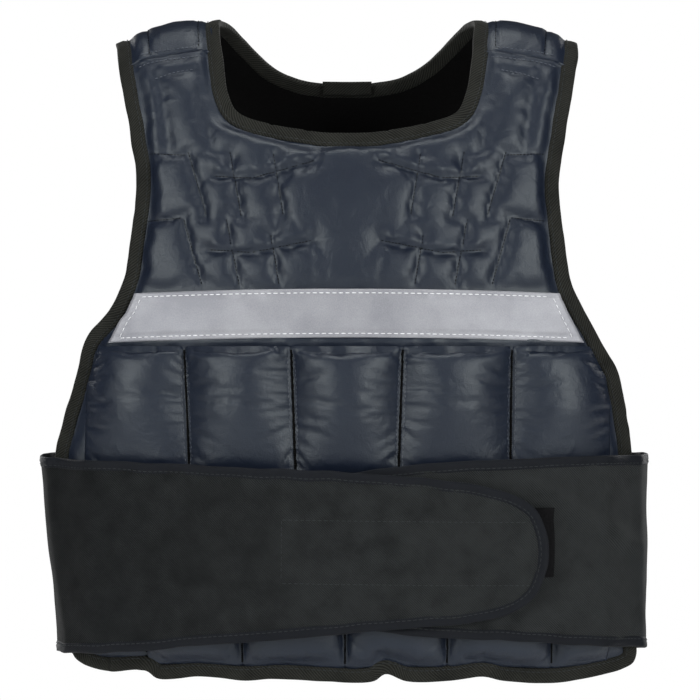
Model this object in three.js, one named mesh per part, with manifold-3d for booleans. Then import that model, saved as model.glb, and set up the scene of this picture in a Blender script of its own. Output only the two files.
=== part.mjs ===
// A weighted training vest in the shape it has when worn, with no wearer.
// Millimetres, +Z up. The front faces -Y and +X is on the right as seen from the front.
// The origin is where the straps sit on the shoulders, midway between the two straps.
//
// Each piece is cut flat, as cloth is, and then formed over the body. A flat point is
// (across, along, height): across is X, along is the way over the shoulder with 0 on the
// shoulder ridge and negative down the front, and height is the distance out from the body.

import * as THREE from 'three';
import { mergeVertices } from 'three/addons/utils/BufferGeometryUtils.js';
import Module from 'manifold-3d';

const wasm = await Module();
wasm.setup();

// Overall form
const hemDrop = 498; // origin down to the hem
const waistHalf = 221; // centre line to the side edge, at the belt
const frontDepth = 98; // origin to the inside of the front
const backDepth = 86; // origin to the inside of the back
const sideBow = 62; // how much further back a side edge lies than the middle of its panel
const shoulderDrop = 18; // how much lower the arm side of a strap is than its neck side
const neckHalf = 96; // half the width of the neck opening
const frontNeckDrop = 86; // origin down to the front neckline
const backNeckDrop = 43; // origin down to the back neckline
const strapWidth = 80; // neck edge to arm edge at the shoulder
const clearance = 0.3; // between pieces that touch
const layerGap = 0.7; // between layers of cloth that bend together

// Shell, binding and shoulder pads
const shellThickness = 8;
const quiltRelief = 2.6; // how far a quilted chest cell stands out
const quiltPitch = 33; // width of a quilted chest column
const bindingWidth = 11.5;
const bindingThickness = 6.5;
const bindingSink = 1.2; // how far the tape reaches inside the shell's inner face
const padThickness = 10.5;
const padReach = 46; // shoulder ridge to the seam at each end of a pad
const padBlank = 0.45; // share of neckHalf where a pad's blank starts, before the neck is cut out
const hemWave = 2; // rise and fall of the back hem from pocket to pocket

// Weight pockets
const pocketDepth = 18; // where nothing presses on a pocket
const pressedDepth = 13; // under the belt
const pressFade = 40; // the way up from the belt over which a pocket swells to its full depth
const upperPocketTop = 246; // below the origin
const lowerPocketHeight = 142.5;
const hemInset = 19.5; // hem up to the foot of the lower pockets
const pocketRowMeet = hemDrop - hemInset - lowerPocketHeight; // below the origin
const seamWidth = 1.6; // valley between two pockets
const upperPocketPitch = 78;
const lowerPocketPitch = 75.5;

// Reflective strip
const stripTop = 203.5; // below the origin, at the centre line
const stripHeight = 36;
const stripThickness = 0.9;

// Belt
const beltHeight = 153;
const beltAboveHem = 18; // hem up to the lower corners of the belt
const beltTop = hemDrop - beltAboveHem - beltHeight; // below the origin
const beltThickness = 2.5;
const beltBinding = 8; // width of the tape round a wing
const beltBindingThickness = 3.4;
const flapReach = 148; // centre line to the tip of the left wing
const underReach = 74; // centre line to the hidden tip of the right wing
const sideRound = 0.17; // how far the belt's side swells, as a share of its span

// Hook-and-loop fastener
const tapeHeight = 50;
const tapeThickness = 1.2;
const tapeInset = 38; // top of the belt down to the top of the tapes
const hookInner = -48; // across, from the centre line
const hookOuter = 118;
const loopInner = 10;
const loopOuter = 155;

// Hanging loop at the back of the neck
const hangLoopWidth = 38;
const hangLoopRise = 4.5; // above the neckline
const hangLoopHeight = 11;
const hangLoopThickness = 1.4;

// The side view. down is a share of hemDrop, front of frontDepth and back of backDepth.
const PROFILE = [
  { down: 0.0, front: 0.0, back: 0.0 },
  { down: 0.009, front: 0.2, back: 0.22 },
  { down: 0.043, front: 0.37, back: 0.41 },
  { down: 0.088, front: 0.51, back: 0.58 },
  { down: 0.135, front: 0.64, back: 0.74 },
  { down: 0.2, front: 0.78, back: 0.88 },
  { down: 0.28, front: 0.9, back: 0.98 },
  { down: 0.37, front: 0.96, back: 1.0 },
  { down: 0.485, front: 1.0, back: 0.97 },
  { down: 0.635, front: 1.0, back: 0.91 },
  { down: 0.8, front: 0.98, back: 0.9 },
  { down: 0.92, front: 0.94, back: 0.91 },
  { down: 1.0, front: 0.9, back: 0.93 },
  { down: 1.07, front: 0.87, back: 0.94 },
];

// The arm and side edges of the front. down is a share of hemDrop, left and right of
// waistHalf. The back has the mean of the two.
const EDGE = [
  { down: 0.055, left: 0.789, right: 0.793 },
  { down: 0.105, left: 0.77, right: 0.776 },
  { down: 0.177, left: 0.737, right: 0.742 },
  { down: 0.252, left: 0.716, right: 0.722 },
  { down: 0.334, left: 0.734, right: 0.736 },
  { down: 0.393, left: 0.758, right: 0.758 },
  { down: 0.437, left: 0.802, right: 0.802 },
  { down: 0.481, left: 0.886, right: 0.857 },
  { down: 0.54, left: 0.925, right: 0.928 },
  { down: 0.608, left: 0.968, right: 0.955 },
  { down: 0.667, left: 1.0, right: 0.975 },
  { down: 0.804, left: 0.972, right: 0.978 },
  { down: 0.927, left: 0.94, right: 0.985 },
];

// The round corners from a side edge to the hem, in the same shares.
const HEM_CORNER = [
  { down: 0.963, left: 0.936, right: 0.99 },
  { down: 0.976, left: 0.905, right: 0.978 },
  { down: 0.985, left: 0.85, right: 0.945 },
];

// The front hem, in the same shares, with a lobe at the foot of each pocket.
const FRONT_HEM = [
  { across: -0.8, down: 0.987 },
  { across: -0.68, down: 0.985 },
  { across: -0.64, down: 0.996 },
  { across: -0.5, down: 0.993 },
  { across: -0.34, down: 0.997 },
  { across: -0.2, down: 0.994 },
  { across: 0.02, down: 1.0 },
  { across: 0.09, down: 0.997 },
  { across: 0.13, down: 0.986 },
  { across: 0.2, down: 0.997 },
  { across: 0.34, down: 0.998 },
  { across: 0.46, down: 0.992 },
  { across: 0.53, down: 0.999 },
  { across: 0.7, down: 1.003 },
  { across: 0.82, down: 0.998 },
  { across: 0.89, down: 0.992 },
];

// The neckline. across is a share of neckHalf, down of the neckline's own drop.
const FRONT_NECK = [
  { across: 0.995, down: 0.22 },
  { across: 0.97, down: 0.43 },
  { across: 0.935, down: 0.645 },
  { across: 0.85, down: 0.815 },
  { across: 0.6, down: 0.92 },
  { across: 0.3, down: 0.985 },
];
const BACK_NECK = [
  { across: 0.93, down: 0.06 },
  { across: 0.78, down: 0.36 },
  { across: 0.62, down: 0.68 },
  { across: 0.41, down: 0.92 },
  { across: 0.2, down: 1.0 },
];

// The outlines of the belt's two wings over the front, from the side to the tip and back.
// along is a share of the wing's reach past the centre line, rise of half the belt's height.
const LEFT_WING = [
  { along: -1.04, rise: 0.925 },
  { along: -0.78, rise: 0.905 },
  { along: 0.015, rise: 0.84 },
  { along: 0.466, rise: 0.763 },
  { along: 0.715, rise: 0.685 },
  { along: 0.86, rise: 0.58 },
  { along: 0.945, rise: 0.44 },
  { along: 0.99, rise: 0.23 },
  { along: 1.0, rise: 0.04 },
  { along: 0.985, rise: -0.135 },
  { along: 0.93, rise: -0.37 },
  { along: 0.8, rise: -0.545 },
  { along: 0.6, rise: -0.63 },
  { along: 0.24, rise: -0.68 },
  { along: -0.23, rise: -0.765 },
  { along: -0.72, rise: -0.85 },
  { along: -1.04, rise: -0.93 },
];
const RIGHT_WING = [
  { along: -1.64, rise: 0.965 },
  { along: -0.5, rise: 0.89 },
  { along: -0.13, rise: 0.84 },
  { along: 0.27, rise: 0.77 },
  { along: 0.58, rise: 0.655 },
  { along: 0.83, rise: 0.41 },
  { along: 1.0, rise: 0.06 },
  { along: 0.9, rise: -0.28 },
  { along: 0.67, rise: -0.475 },
  { along: 0.38, rise: -0.59 },
  { along: 0.0, rise: -0.67 },
  { along: -0.54, rise: -0.745 },
  { along: -1.64, rise: -0.82 },
];

const MATERIALS = {
  shell_nylon: { color: 0x2e3442, roughness: 0.42 },
  binding_tape: { color: 0x1c1d1a, roughness: 0.85 },
  reflective: { color: 0xa9adba, roughness: 0.45 },
  belt_cloth: { color: 0x1e2123, roughness: 0.85 },
  belt_edging: { color: 0x15181d, roughness: 0.7 },
  fastener: { color: 0x060708, roughness: 1.0 },
};

const { clamp, lerp, smoothstep } = THREE.MathUtils;
const vest = new THREE.Group();

// The body form

const profileCurve = new THREE.CatmullRomCurve3(
  [...PROFILE]
    .reverse()
    .map((row) => new THREE.Vector3(0, -row.front * frontDepth, -row.down * hemDrop))
    .concat(
      PROFILE.slice(1).map(
        (row) => new THREE.Vector3(0, row.back * backDepth, -row.down * hemDrop),
      ),
    ),
  false,
  'centripetal',
);
const stepsPerRow = 24;
profileCurve.arcLengthDivisions = stepsPerRow * 2 * (PROFILE.length - 1);
const profileLengths = profileCurve.getLengths();
const ridgeAt = profileLengths[stepsPerRow * (PROFILE.length - 1)];
const profileLength = profileLengths[profileLengths.length - 1];
const armHalf = neckHalf + strapWidth;
const bowStart = 20; // along the cloth from the ridge
const bowFull = 190;
const dropFull = 130;

// The inside of the vest at a flat point.
function formPoint(across, along) {
  const at = clamp((ridgeAt + along) / profileLength, 0, 1);
  const point = profileCurve.getPointAt(at);
  const bow = sideBow * smoothstep(Math.abs(along), bowStart, bowFull);
  point.x = across;
  point.y -= Math.sign(along) * bow * (across / waistHalf) ** 2;
  const slope = Math.max(0, (Math.abs(across) - neckHalf) / strapWidth);
  point.z -= shoulderDrop * slope ** 1.15 * (1 - smoothstep(Math.abs(along), 0, dropFull));
  return point;
}

function formNormal(across, along) {
  const step = 1;
  const sideways = formPoint(across + step, along).sub(formPoint(across - step, along));
  const onward = formPoint(across, along + step).sub(formPoint(across, along - step));
  return sideways.cross(onward).normalize();
}

const onBody = (across, along, height) =>
  formPoint(across, along).addScaledVector(formNormal(across, along), height);

// The way along the cloth to a depth below the origin; side is -1 for the front, 1 for the back.
function alongAt(across, below, side) {
  let near = 0;
  let far = side < 0 ? ridgeAt : profileLength - ridgeAt;
  for (let i = 0; i < 40; i++) {
    const middle = (near + far) / 2;
    if (-formPoint(across, side * middle).z < below) near = middle;
    else far = middle;
  }
  return (side * (near + far)) / 2;
}

// Solids in flat space

const toSolid = (vertices, triangles) =>
  new wasm.Manifold(
    new wasm.Mesh({
      numProp: 3,
      vertProperties: new Float32Array(vertices.flat()),
      triVerts: new Uint32Array(triangles.flat()),
    }),
  );

const quad = (a, b, c, d) => [
  [a, b, c],
  [a, c, d],
];

// Flat space is dished a little, so that a cut keeps every facet of a level face: a level
// face would lose the points that it needs for bending.
const dishRadius = 10000;
const dish = (across, along) => (across ** 2 + along ** 2) / (2 * dishRadius);

// A slab over a grid of flat points, from low to high at each.
function slab(columns, rows, flatPoint, low, high) {
  const vertices = [];
  const triangles = [];
  const at = (i, j, top) => 2 * (j * (columns + 1) + i) + top;
  for (let j = 0; j <= rows; j++)
    for (let i = 0; i <= columns; i++) {
      const [across, along] = flatPoint(i / columns, j / rows);
      for (const level of [low, high]) {
        const height = level(i / columns, j / rows, across, along);
        vertices.push([across, along, height + dish(across, along)]);
      }
    }
  for (let j = 0; j < rows; j++)
    for (let i = 0; i < columns; i++) {
      triangles.push(...quad(at(i, j, 1), at(i + 1, j, 1), at(i + 1, j + 1, 1), at(i, j + 1, 1)));
      triangles.push(...quad(at(i, j, 0), at(i, j + 1, 0), at(i + 1, j + 1, 0), at(i + 1, j, 0)));
    }
  for (let i = 0; i < columns; i++) {
    triangles.push(...quad(at(i, 0, 0), at(i + 1, 0, 0), at(i + 1, 0, 1), at(i, 0, 1)));
    triangles.push(
      ...quad(at(i + 1, rows, 0), at(i, rows, 0), at(i, rows, 1), at(i + 1, rows, 1)),
    );
  }
  for (let j = 0; j < rows; j++) {
    triangles.push(...quad(at(0, j + 1, 0), at(0, j, 0), at(0, j, 1), at(0, j + 1, 1)));
    triangles.push(
      ...quad(at(columns, j, 0), at(columns, j + 1, 0), at(columns, j + 1, 1), at(columns, j, 1)),
    );
  }
  return toSolid(vertices, triangles);
}

// A tape along a flat path, lying to the left of it; side gives its way in from the edge.
function tape(path, inner, low, high, closed) {
  const count = path.length;
  const vertices = path.flatMap((point, i) => [
    [point.x, point.y, low + dish(point.x, point.y)],
    [point.x, point.y, high + dish(point.x, point.y)],
    [inner[i].x, inner[i].y, high + dish(inner[i].x, inner[i].y)],
    [inner[i].x, inner[i].y, low + dish(inner[i].x, inner[i].y)],
  ]);
  const triangles = [];
  const last = closed ? count : count - 1;
  for (let i = 0; i < last; i++) {
    const here = 4 * i;
    const next = 4 * ((i + 1) % count);
    for (let k = 0; k < 4; k++) {
      const turn = (k + 1) % 4;
      triangles.push(...quad(here + k, here + turn, next + turn, next + k));
    }
  }
  if (!closed) {
    const end = 4 * (count - 1);
    triangles.push(...quad(3, 2, 1, 0), ...quad(end, end + 1, end + 2, end + 3));
  }
  const made = toSolid(vertices, triangles);
  return made.volume() > 0
    ? made
    : toSolid(
        vertices,
        triangles.map(([a, b, c]) => [a, c, b]),
      );
}

const cutHeight = 120;

// Everything inside a flat outline.
function prism(outline) {
  const geometry = new THREE.ExtrudeGeometry(new THREE.Shape(outline), {
    depth: cutHeight,
    bevelEnabled: false,
  });
  geometry.translate(0, 0, -cutHeight / 2);
  geometry.deleteAttribute('normal');
  geometry.deleteAttribute('uv');
  const merged = mergeVertices(geometry, 1e-4);
  const made = new wasm.Manifold(
    new wasm.Mesh({
      numProp: 3,
      vertProperties: merged.attributes.position.array,
      triVerts: new Uint32Array(merged.index.array),
    }),
  );
  return made;
}

// Evenly spaced points of a smooth flat curve through the given ones.
function smoothPath(points, count, closed) {
  const curve = new THREE.CatmullRomCurve3(
    points.map(([across, along]) => new THREE.Vector3(across, along, 0)),
    closed,
    'centripetal',
  );
  curve.arcLengthDivisions = 20 * points.length;
  const spaced = curve.getSpacedPoints(count);
  if (closed) spaced.pop();
  return spaced.map((point) => new THREE.Vector2(point.x, point.y));
}

// A path moved to its left by a distance.
function beside(path, distance, closed) {
  const count = path.length;
  return path.map((point, i) => {
    const before = closed ? path[(i + count - 1) % count] : path[Math.max(i - 1, 0)];
    const after = closed ? path[(i + 1) % count] : path[Math.min(i + 1, count - 1)];
    const way = after.clone().sub(before).normalize();
    return new THREE.Vector2(point.x - way.y * distance, point.y + way.x * distance);
  });
}

// Bends a flat solid with a map and adds it to the vest.
function add(name, material, solid, map) {
  const mesh = solid.getMesh();
  const positions = new Float32Array(mesh.numVert * 3);
  for (let i = 0; i < mesh.numVert; i++) {
    const at = i * mesh.numProp;
    const [across, along, height] = mesh.vertProperties.subarray(at, at + 3);
    const point = map(across, along, height - dish(across, along));
    positions.set([point.x, point.y, point.z], i * 3);
  }
  const geometry = new THREE.BufferGeometry();
  geometry.setAttribute('position', new THREE.BufferAttribute(positions, 3));
  geometry.setIndex(new THREE.BufferAttribute(new Uint32Array(mesh.triVerts), 1));
  geometry.computeVertexNormals();
  const made = new THREE.Mesh(
    geometry,
    new THREE.MeshStandardMaterial({ ...MATERIALS[material], metalness: 0 }),
  );
  made.name = name;
  vest.add(made);
}

// Outlines of the shell

function sideEdge(row, which, side) {
  const share = side < 0 ? row[which] : (row.left + row.right) / 2;
  const across = (which === 'left' ? -1 : 1) * share * waistHalf;
  return [across, alongAt(across, row.down * hemDrop, side)];
}

// The distance from the centre line to the front's arm or side edge at a depth.
function edgeHalf(below, which, side) {
  const down = clamp(below / hemDrop, EDGE[0].down, EDGE[EDGE.length - 1].down - 1e-6);
  const upper = EDGE.findLast((row) => row.down <= down);
  const lower = EDGE.find((row) => row.down > down);
  const share = (down - upper.down) / (lower.down - upper.down);
  return lerp(Math.abs(sideEdge(upper, which, side)[0]), Math.abs(sideEdge(lower, which, side)[0]), share);
}

function frontHem() {
  return FRONT_HEM.map((row) => {
    const across = row.across * waistHalf;
    return [across, alongAt(across, row.down * hemDrop, -1)];
  });
}

const hemSteps = 22;

// The back hem waves evenly, from right to left.
function backHem() {
  const half = 0.84 * waistHalf;
  return Array.from({ length: hemSteps + 1 }, (_, i) => {
    const across = lerp(half, -half, i / hemSteps);
    const wave = hemWave * Math.cos((2 * Math.PI * across) / lowerPocketPitch);
    return [across, alongAt(across, hemDrop - hemWave + wave, 1)];
  });
}

// Anticlockwise, starting at the left end of the front hem.
function outerOutline() {
  const down = [...EDGE, ...HEM_CORNER];
  const up = [...down].reverse();
  const points = [
    ...frontHem(),
    ...up.map((row) => sideEdge(row, 'right', -1)),
    [armHalf, 0],
    ...down.map((row) => sideEdge(row, 'right', 1)),
    ...backHem(),
    ...up.map((row) => sideEdge(row, 'left', 1)),
    [-armHalf, 0],
    ...down.map((row) => sideEdge(row, 'left', -1)),
  ];
  return smoothPath(points, 136, true);
}

// Anticlockwise, starting at the left end of the shoulder ridge.
function neckOutline() {
  const at = (row, which, side) => {
    const across = which * row.across * neckHalf;
    const drop = side < 0 ? frontNeckDrop : backNeckDrop;
    return [across, alongAt(across, row.down * drop, side)];
  };
  const points = [[-neckHalf, 0]];
  FRONT_NECK.forEach((row) => points.push(at(row, -1, -1)));
  points.push(at({ across: 0, down: 1 }, 1, -1));
  [...FRONT_NECK].reverse().forEach((row) => points.push(at(row, 1, -1)));
  points.push([neckHalf, 0]);
  BACK_NECK.forEach((row) => points.push(at(row, 1, 1)));
  points.push(at({ across: 0, down: 1 }, 1, 1));
  [...BACK_NECK].reverse().forEach((row) => points.push(at(row, -1, 1)));
  return smoothPath(points, 60, true);
}

const outer = outerOutline();
const neck = neckOutline();
const outerInside = beside(outer, bindingWidth, true);
const neckOutside = beside(neck, -bindingWidth, true);
const shellCut = prism(beside(outer, bindingWidth + clearance, true)).subtract(
  prism(beside(neck, -bindingWidth - clearance, true)),
);

// Shell and lining

const chestTop = 105; // below the origin
const chestBottom = stripTop - 16;
const quiltRow = (chestBottom - chestTop) / 2;

// How far the quilted chest stands out from the shell's own thickness.
function quilt(across, along) {
  if (along > 0) return 0;
  const below = -formPoint(across, along).z;
  const row = (below - chestTop) / quiltRow;
  const inRow = row - Math.floor(row);
  const lean = 0.35 * quiltPitch * (inRow - 0.5) * clamp(across / armHalf, -1, 1);
  const cell = Math.abs(Math.sin((Math.PI * (across + lean)) / quiltPitch));
  const ends = smoothstep(below, padReach, chestTop) * (1 - smoothstep(below, chestBottom - 10, chestBottom + 2));
  const rowEnds = 0.45 + 0.55 * Math.sin(Math.PI * inRow);
  return quiltRelief * cell * ends * rowEnds;
}

const shellColumns = 22;

// Rows are close together over the chest and shoulder, and wide behind the pockets.
function shellSlab(side, low, high) {
  const bottom = side < 0 ? -ridgeAt : profileLength - ridgeAt;
  const top = side * (padReach + clearance / 2);
  const chest = alongAt(0, stripTop + stripHeight, side);
  const shares = [];
  const upperRows = side < 0 ? 14 : 8;
  for (let j = 0; j < 7; j++) shares.push(lerp(bottom, chest, j / 7));
  for (let j = 0; j <= upperRows; j++) shares.push(lerp(chest, top, j / upperRows));
  const rows = side < 0 ? shares : shares.reverse();
  const last = rows.length - 1;
  const point = (u, v) => [(2 * u - 1) * 1.02 * waistHalf, rows[Math.round(v * last)]];
  return slab(shellColumns, last, point, low, high).intersect(shellCut);
}

function addShell() {
  const inside = () => 0;
  const outside = (u, v, across, along) => shellThickness + quilt(across, along);
  add('front_panel', 'shell_nylon', shellSlab(-1, inside, outside), onBody);
  add('back_panel', 'shell_nylon', shellSlab(1, inside, outside), onBody);
}

// A height that swells from the edges of a pocket or pad to its middle.
const swell = (u, v) =>
  Math.sqrt((1 - Math.abs(2 * u - 1) ** 4) * (1 - Math.abs(2 * v - 1) ** 6));

function addShoulderPads() {
  for (const [name, side] of [
    ['shoulder_pad_left', -1],
    ['shoulder_pad_right', 1],
  ]) {
    const near = padBlank * neckHalf;
    const wide = armHalf - near;
    const point = (u, v) => [
      side < 0 ? u * wide - armHalf : near + u * wide,
      (2 * v - 1) * (padReach - clearance / 2),
    ];
    const high = (u, v, across) => {
      const inStrap = clamp((Math.abs(across) - neckHalf) / strapWidth, 0, 1);
      return lerp(bindingThickness, padThickness, swell(inStrap, v));
    };
    add(name, 'shell_nylon', slab(7, 14, point, () => 0, high).intersect(shellCut), onBody);
  }
}

function addBindings() {
  const low = -bindingSink;
  const high = bindingThickness - bindingSink;
  add('edge_binding', 'binding_tape', tape(outer, outerInside, low, high, true), onBody);
  add('neck_binding', 'binding_tape', tape(neck, neckOutside, low, high, true), onBody);
}

function addHangLoop() {
  const neckline = alongAt(0, backNeckDrop, 1);
  const point = (u, v) => [
    (u - 0.5) * hangLoopWidth,
    neckline - hangLoopRise + v * hangLoopHeight,
  ];
  const high = -bindingSink - clearance;
  const solid = slab(3, 3, point, () => high - hangLoopThickness, () => high);
  add('hang_loop', 'binding_tape', solid, onBody);
}

// Reflective strip, cut to the slanting arm edges

function addStrip() {
  const edgeInset = bindingWidth + 3;
  const sag = 6; // how much lower the strip is at its ends
  const point = (u, v) => {
    const centre = stripTop + stripHeight * (1 - v);
    const left = edgeInset - edgeHalf(centre, 'left', -1);
    const right = edgeHalf(centre, 'right', -1) - edgeInset;
    const across = lerp(left, right, u);
    return [across, alongAt(across, centre + sag * (across / waistHalf) ** 2, -1)];
  };
  const low = () => shellThickness + layerGap;
  const high = () => low() + stripThickness;
  add('reflective_strip', 'reflective', slab(20, 2, point, low, high), onBody);
}

// Weight pockets

// How far a pocket stands out from the shell at a depth below the origin.
const pocketHeight = (below) =>
  lerp(pocketDepth, pressedDepth, smoothstep(below, beltTop - pressFade, beltTop));

function pocket(left, right, top, bottom, side) {
  const point = (u, v) => {
    const across = lerp(left, right, u);
    const below = lerp(bottom, top, side < 0 ? v : 1 - v);
    return [across, alongAt(across, below, side)];
  };
  const low = () => shellThickness + layerGap;
  const thin = 1.5; // the cloth alone, at a pocket's seams
  const high = (u, v) => {
    const below = lerp(bottom, top, side < 0 ? v : 1 - v);
    return low() + thin + (pocketHeight(below) - thin) * swell(u, v);
  };
  return slab(5, 5, point, low, high);
}

// A row of pockets between seams, each with its own node.
function addPocketRow(name, seams, top, bottom, side) {
  const half = seamWidth / 2;
  for (let i = 0; i + 1 < seams.length; i++) {
    const solid = pocket(seams[i] + half, seams[i + 1] - half, top, bottom, side);
    const trimmed = i === 0 || i + 2 === seams.length ? solid.intersect(shellCut) : solid;
    add(`${name}_${i + 1}`, 'shell_nylon', trimmed, onBody);
  }
}

function addPockets() {
  const upperSeams = [-2.5, -1.5, -0.5, 0.5, 1.5, 2.5].map((turn) => turn * upperPocketPitch);
  const sideSeam = 2.5 * upperPocketPitch;
  const inner = [-2, -1, 0, 1, 2].map((turn) => turn * lowerPocketPitch);
  const lowerSeams = [-sideSeam, ...inner, sideSeam];
  const meet = seamWidth / 2;
  const hem = hemDrop - hemInset;
  for (const [where, side] of [
    ['front', -1],
    ['back', 1],
  ]) {
    addPocketRow(
      `${where}_pocket_upper`,
      upperSeams,
      upperPocketTop,
      pocketRowMeet - meet,
      side,
    );
    addPocketRow(`${where}_pocket_lower`, lowerSeams, pocketRowMeet + meet, hem, side);
  }
}

// The belt. Its flat space is (along, z, height): along is X over the front, and past a side
// edge it goes on round the side to the middle of the back.

const beltMargin = 2; // between the belt and the pockets that it presses
const sideEase = 3.8; // how far the belt starts to leave the panel past its side edge
const overlapLift = beltThickness + 2 * tapeThickness + 3 * layerGap;

// The lift of the belt's inner face from the body at a distance from the centre line.
function beltLift(across) {
  const overPockets = shellThickness + layerGap + pressedDepth + beltMargin;
  const overEdge = bindingThickness + beltMargin;
  const outerSeam = 2.5 * upperPocketPitch;
  return lerp(overPockets, overEdge, smoothstep(Math.abs(across), outerSeam - 5, waistHalf));
}

function overPanel(across, below, side) {
  const along = alongAt(across, below, side);
  const base = formPoint(across, along);
  const tilt = Math.abs(formNormal(across, along).y);
  return new THREE.Vector2(across, base.y + (side * beltLift(across)) / tilt);
}

const straightShare = 0.68; // of waistHalf, over which along is X itself

// The belt's inner face over the front or back panel.
function overPanelAt(distance, which, below, side) {
  const straight = straightShare * waistHalf;
  const half = edgeHalf(below, which, side) + sideEase;
  const past = Math.max(0, distance - straight) / (waistHalf - straight);
  const across = distance <= straight ? distance : lerp(straight, half, past);
  return overPanel((which === 'left' ? -1 : 1) * across, below, side);
}

const sideCurves = new Map();

// The belt's way round one side at one level, from the front's edge to the back's.
function sideCurve(which, below) {
  const key = `${which}${below.toFixed(3)}`;
  if (!sideCurves.has(key)) {
    const front = overPanelAt(waistHalf, which, below, -1);
    const back = overPanelAt(waistHalf, which, below, 1);
    const reach = sideRound * front.distanceTo(back);
    const lead = (edge, side) =>
      edge
        .clone()
        .sub(overPanelAt(waistHalf - 3, which, below, side))
        .setLength(reach)
        .add(edge);
    sideCurves.set(
      key,
      new THREE.CubicBezierCurve(front, lead(front, -1), lead(back, 1), back),
    );
  }
  return sideCurves.get(key);
}

const sideSpan = sideCurve('left', beltTop).getLength();
const backCentre = 2 * waistHalf + sideSpan; // along, at the middle of the back

function beltPoint(along, z) {
  const which = along < 0 ? 'left' : 'right';
  const distance = Math.abs(along);
  let point;
  if (distance <= waistHalf) point = overPanelAt(distance, which, -z, -1);
  else if (distance <= waistHalf + sideSpan)
    point = sideCurve(which, -z).getPoint((distance - waistHalf) / sideSpan);
  else point = overPanelAt(Math.max(0, backCentre - distance), which, -z, 1);
  return new THREE.Vector3(point.x, point.y, z);
}

const onBelt = (along, z, height) => {
  const step = 0.6;
  const onward = beltPoint(along + step, z).sub(beltPoint(along - step, z));
  const upward = beltPoint(along, z + step).sub(beltPoint(along, z - step));
  return beltPoint(along, z).addScaledVector(onward.cross(upward).normalize(), height);
};

// The left wing rises over the hidden end of the right one.
const liftStart = -underReach - 55;
const onLeftWing = (along, z, height) =>
  onBelt(along, z, height + overlapLift * smoothstep(along, liftStart, -underReach - 3));

// The outline of a wing, from the middle of the back round to its tip and back again.
function wingPath(rows, reach, direction) {
  const middle = -(beltTop + beltHeight / 2);
  const half = beltHeight / 2;
  const ends = [1, 0.66, 0.33].map((share) => lerp(waistHalf, backCentre - clearance / 2, share));
  const points = ends.map((along) => [-direction * along, middle + half]);
  rows.forEach((row) => points.push([direction * row.along * reach, middle + row.rise * half]));
  ends.reverse().forEach((along) => points.push([-direction * along, middle - half]));
  return smoothPath(points, 64, false);
}

// Where the columns of a wing lie along it: close together where it bends round the side.
function beltStops(which, far, tip) {
  const side = which === 'left' ? -1 : 1;
  const bendStart = side * 0.8 * waistHalf;
  const bendEnd = side * (1.2 * waistHalf + sideSpan);
  const stretch = (from, to, step) => {
    const count = Math.ceil(Math.abs(to - from) / step);
    return Array.from({ length: count }, (_, i) => lerp(from, to, i / count));
  };
  const stops = [
    ...stretch(far, bendEnd, 28),
    ...stretch(bendEnd, bendStart, 11),
    ...stretch(bendStart, tip, 28),
    tip,
  ];
  return stops.sort((a, b) => a - b);
}

function addWing(which, rows, reach, map) {
  const direction = which === 'left' ? 1 : -1;
  const path = wingPath(rows, reach, direction);
  const inward = -direction;
  const binding = beside(path, inward * beltBinding, false);
  const cloth = beside(path, inward * (beltBinding + clearance), false);
  const far = -direction * (backCentre - clearance / 2);
  cloth[0].x = far;
  cloth[cloth.length - 1].x = far;
  binding[0].x = far;
  binding[binding.length - 1].x = far;
  const stops = beltStops(which, far, direction * reach);
  const low = -(beltTop + beltHeight);
  const last = stops.length - 1;
  const point = (u, v) => [stops[Math.round(u * last)], lerp(low, -beltTop, v)];
  const sheet = slab(last, 3, point, () => 0, () => beltThickness);
  const extra = (beltBindingThickness - beltThickness) / 2;
  add(`belt_wing_${which}`, 'belt_cloth', sheet.intersect(prism(cloth)), map);
  add(
    `belt_binding_${which}`,
    'belt_edging',
    tape(path, binding, -extra, beltThickness + extra, false),
    map,
  );
}

function addFastener() {
  const tapeLow = -(beltTop + tapeInset + tapeHeight);
  const patch = (name, inner, outerEnd, low) => {
    const point = (u, v) => [lerp(inner, outerEnd, u), tapeLow + tapeHeight * v];
    const solid = slab(8, 1, point, () => low, () => low + tapeThickness);
    add(name, 'fastener', solid, onBelt);
  };
  const loopLow = beltThickness + layerGap;
  patch('loop_patch', loopInner, loopOuter, loopLow);
  patch('hook_patch', hookInner, hookOuter, loopLow + tapeThickness + layerGap);
}

addShell();
addShoulderPads();
addBindings();
addHangLoop();
addStrip();
addPockets();
addWing('left', LEFT_WING, flapReach, onLeftWing);
addWing('right', RIGHT_WING, underReach, onBelt);
addFastener();

export default vest;
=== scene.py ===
# Dresses the vest: quilted nylon, filled pockets, folded tape, a twill belt and real stitches.
# Flat places are millimetres on the cloth: across is X, along is the way over the shoulder,
# negative down the front, and height is the distance out from the body.
import math

import bmesh
import bpy
import numpy as np
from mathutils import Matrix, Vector


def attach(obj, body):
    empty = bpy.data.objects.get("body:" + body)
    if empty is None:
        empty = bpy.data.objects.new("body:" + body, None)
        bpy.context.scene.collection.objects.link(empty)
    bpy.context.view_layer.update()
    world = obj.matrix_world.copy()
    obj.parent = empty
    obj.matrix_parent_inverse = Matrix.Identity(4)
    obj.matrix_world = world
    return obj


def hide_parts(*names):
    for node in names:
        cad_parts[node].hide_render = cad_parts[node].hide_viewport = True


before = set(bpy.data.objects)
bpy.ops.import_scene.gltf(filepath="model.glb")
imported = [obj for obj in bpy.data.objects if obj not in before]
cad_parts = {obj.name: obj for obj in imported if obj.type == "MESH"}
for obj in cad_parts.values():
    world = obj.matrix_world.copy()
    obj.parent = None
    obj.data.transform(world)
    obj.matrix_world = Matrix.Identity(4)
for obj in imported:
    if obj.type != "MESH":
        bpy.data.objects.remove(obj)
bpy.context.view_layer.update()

MM = 0.001

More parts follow.
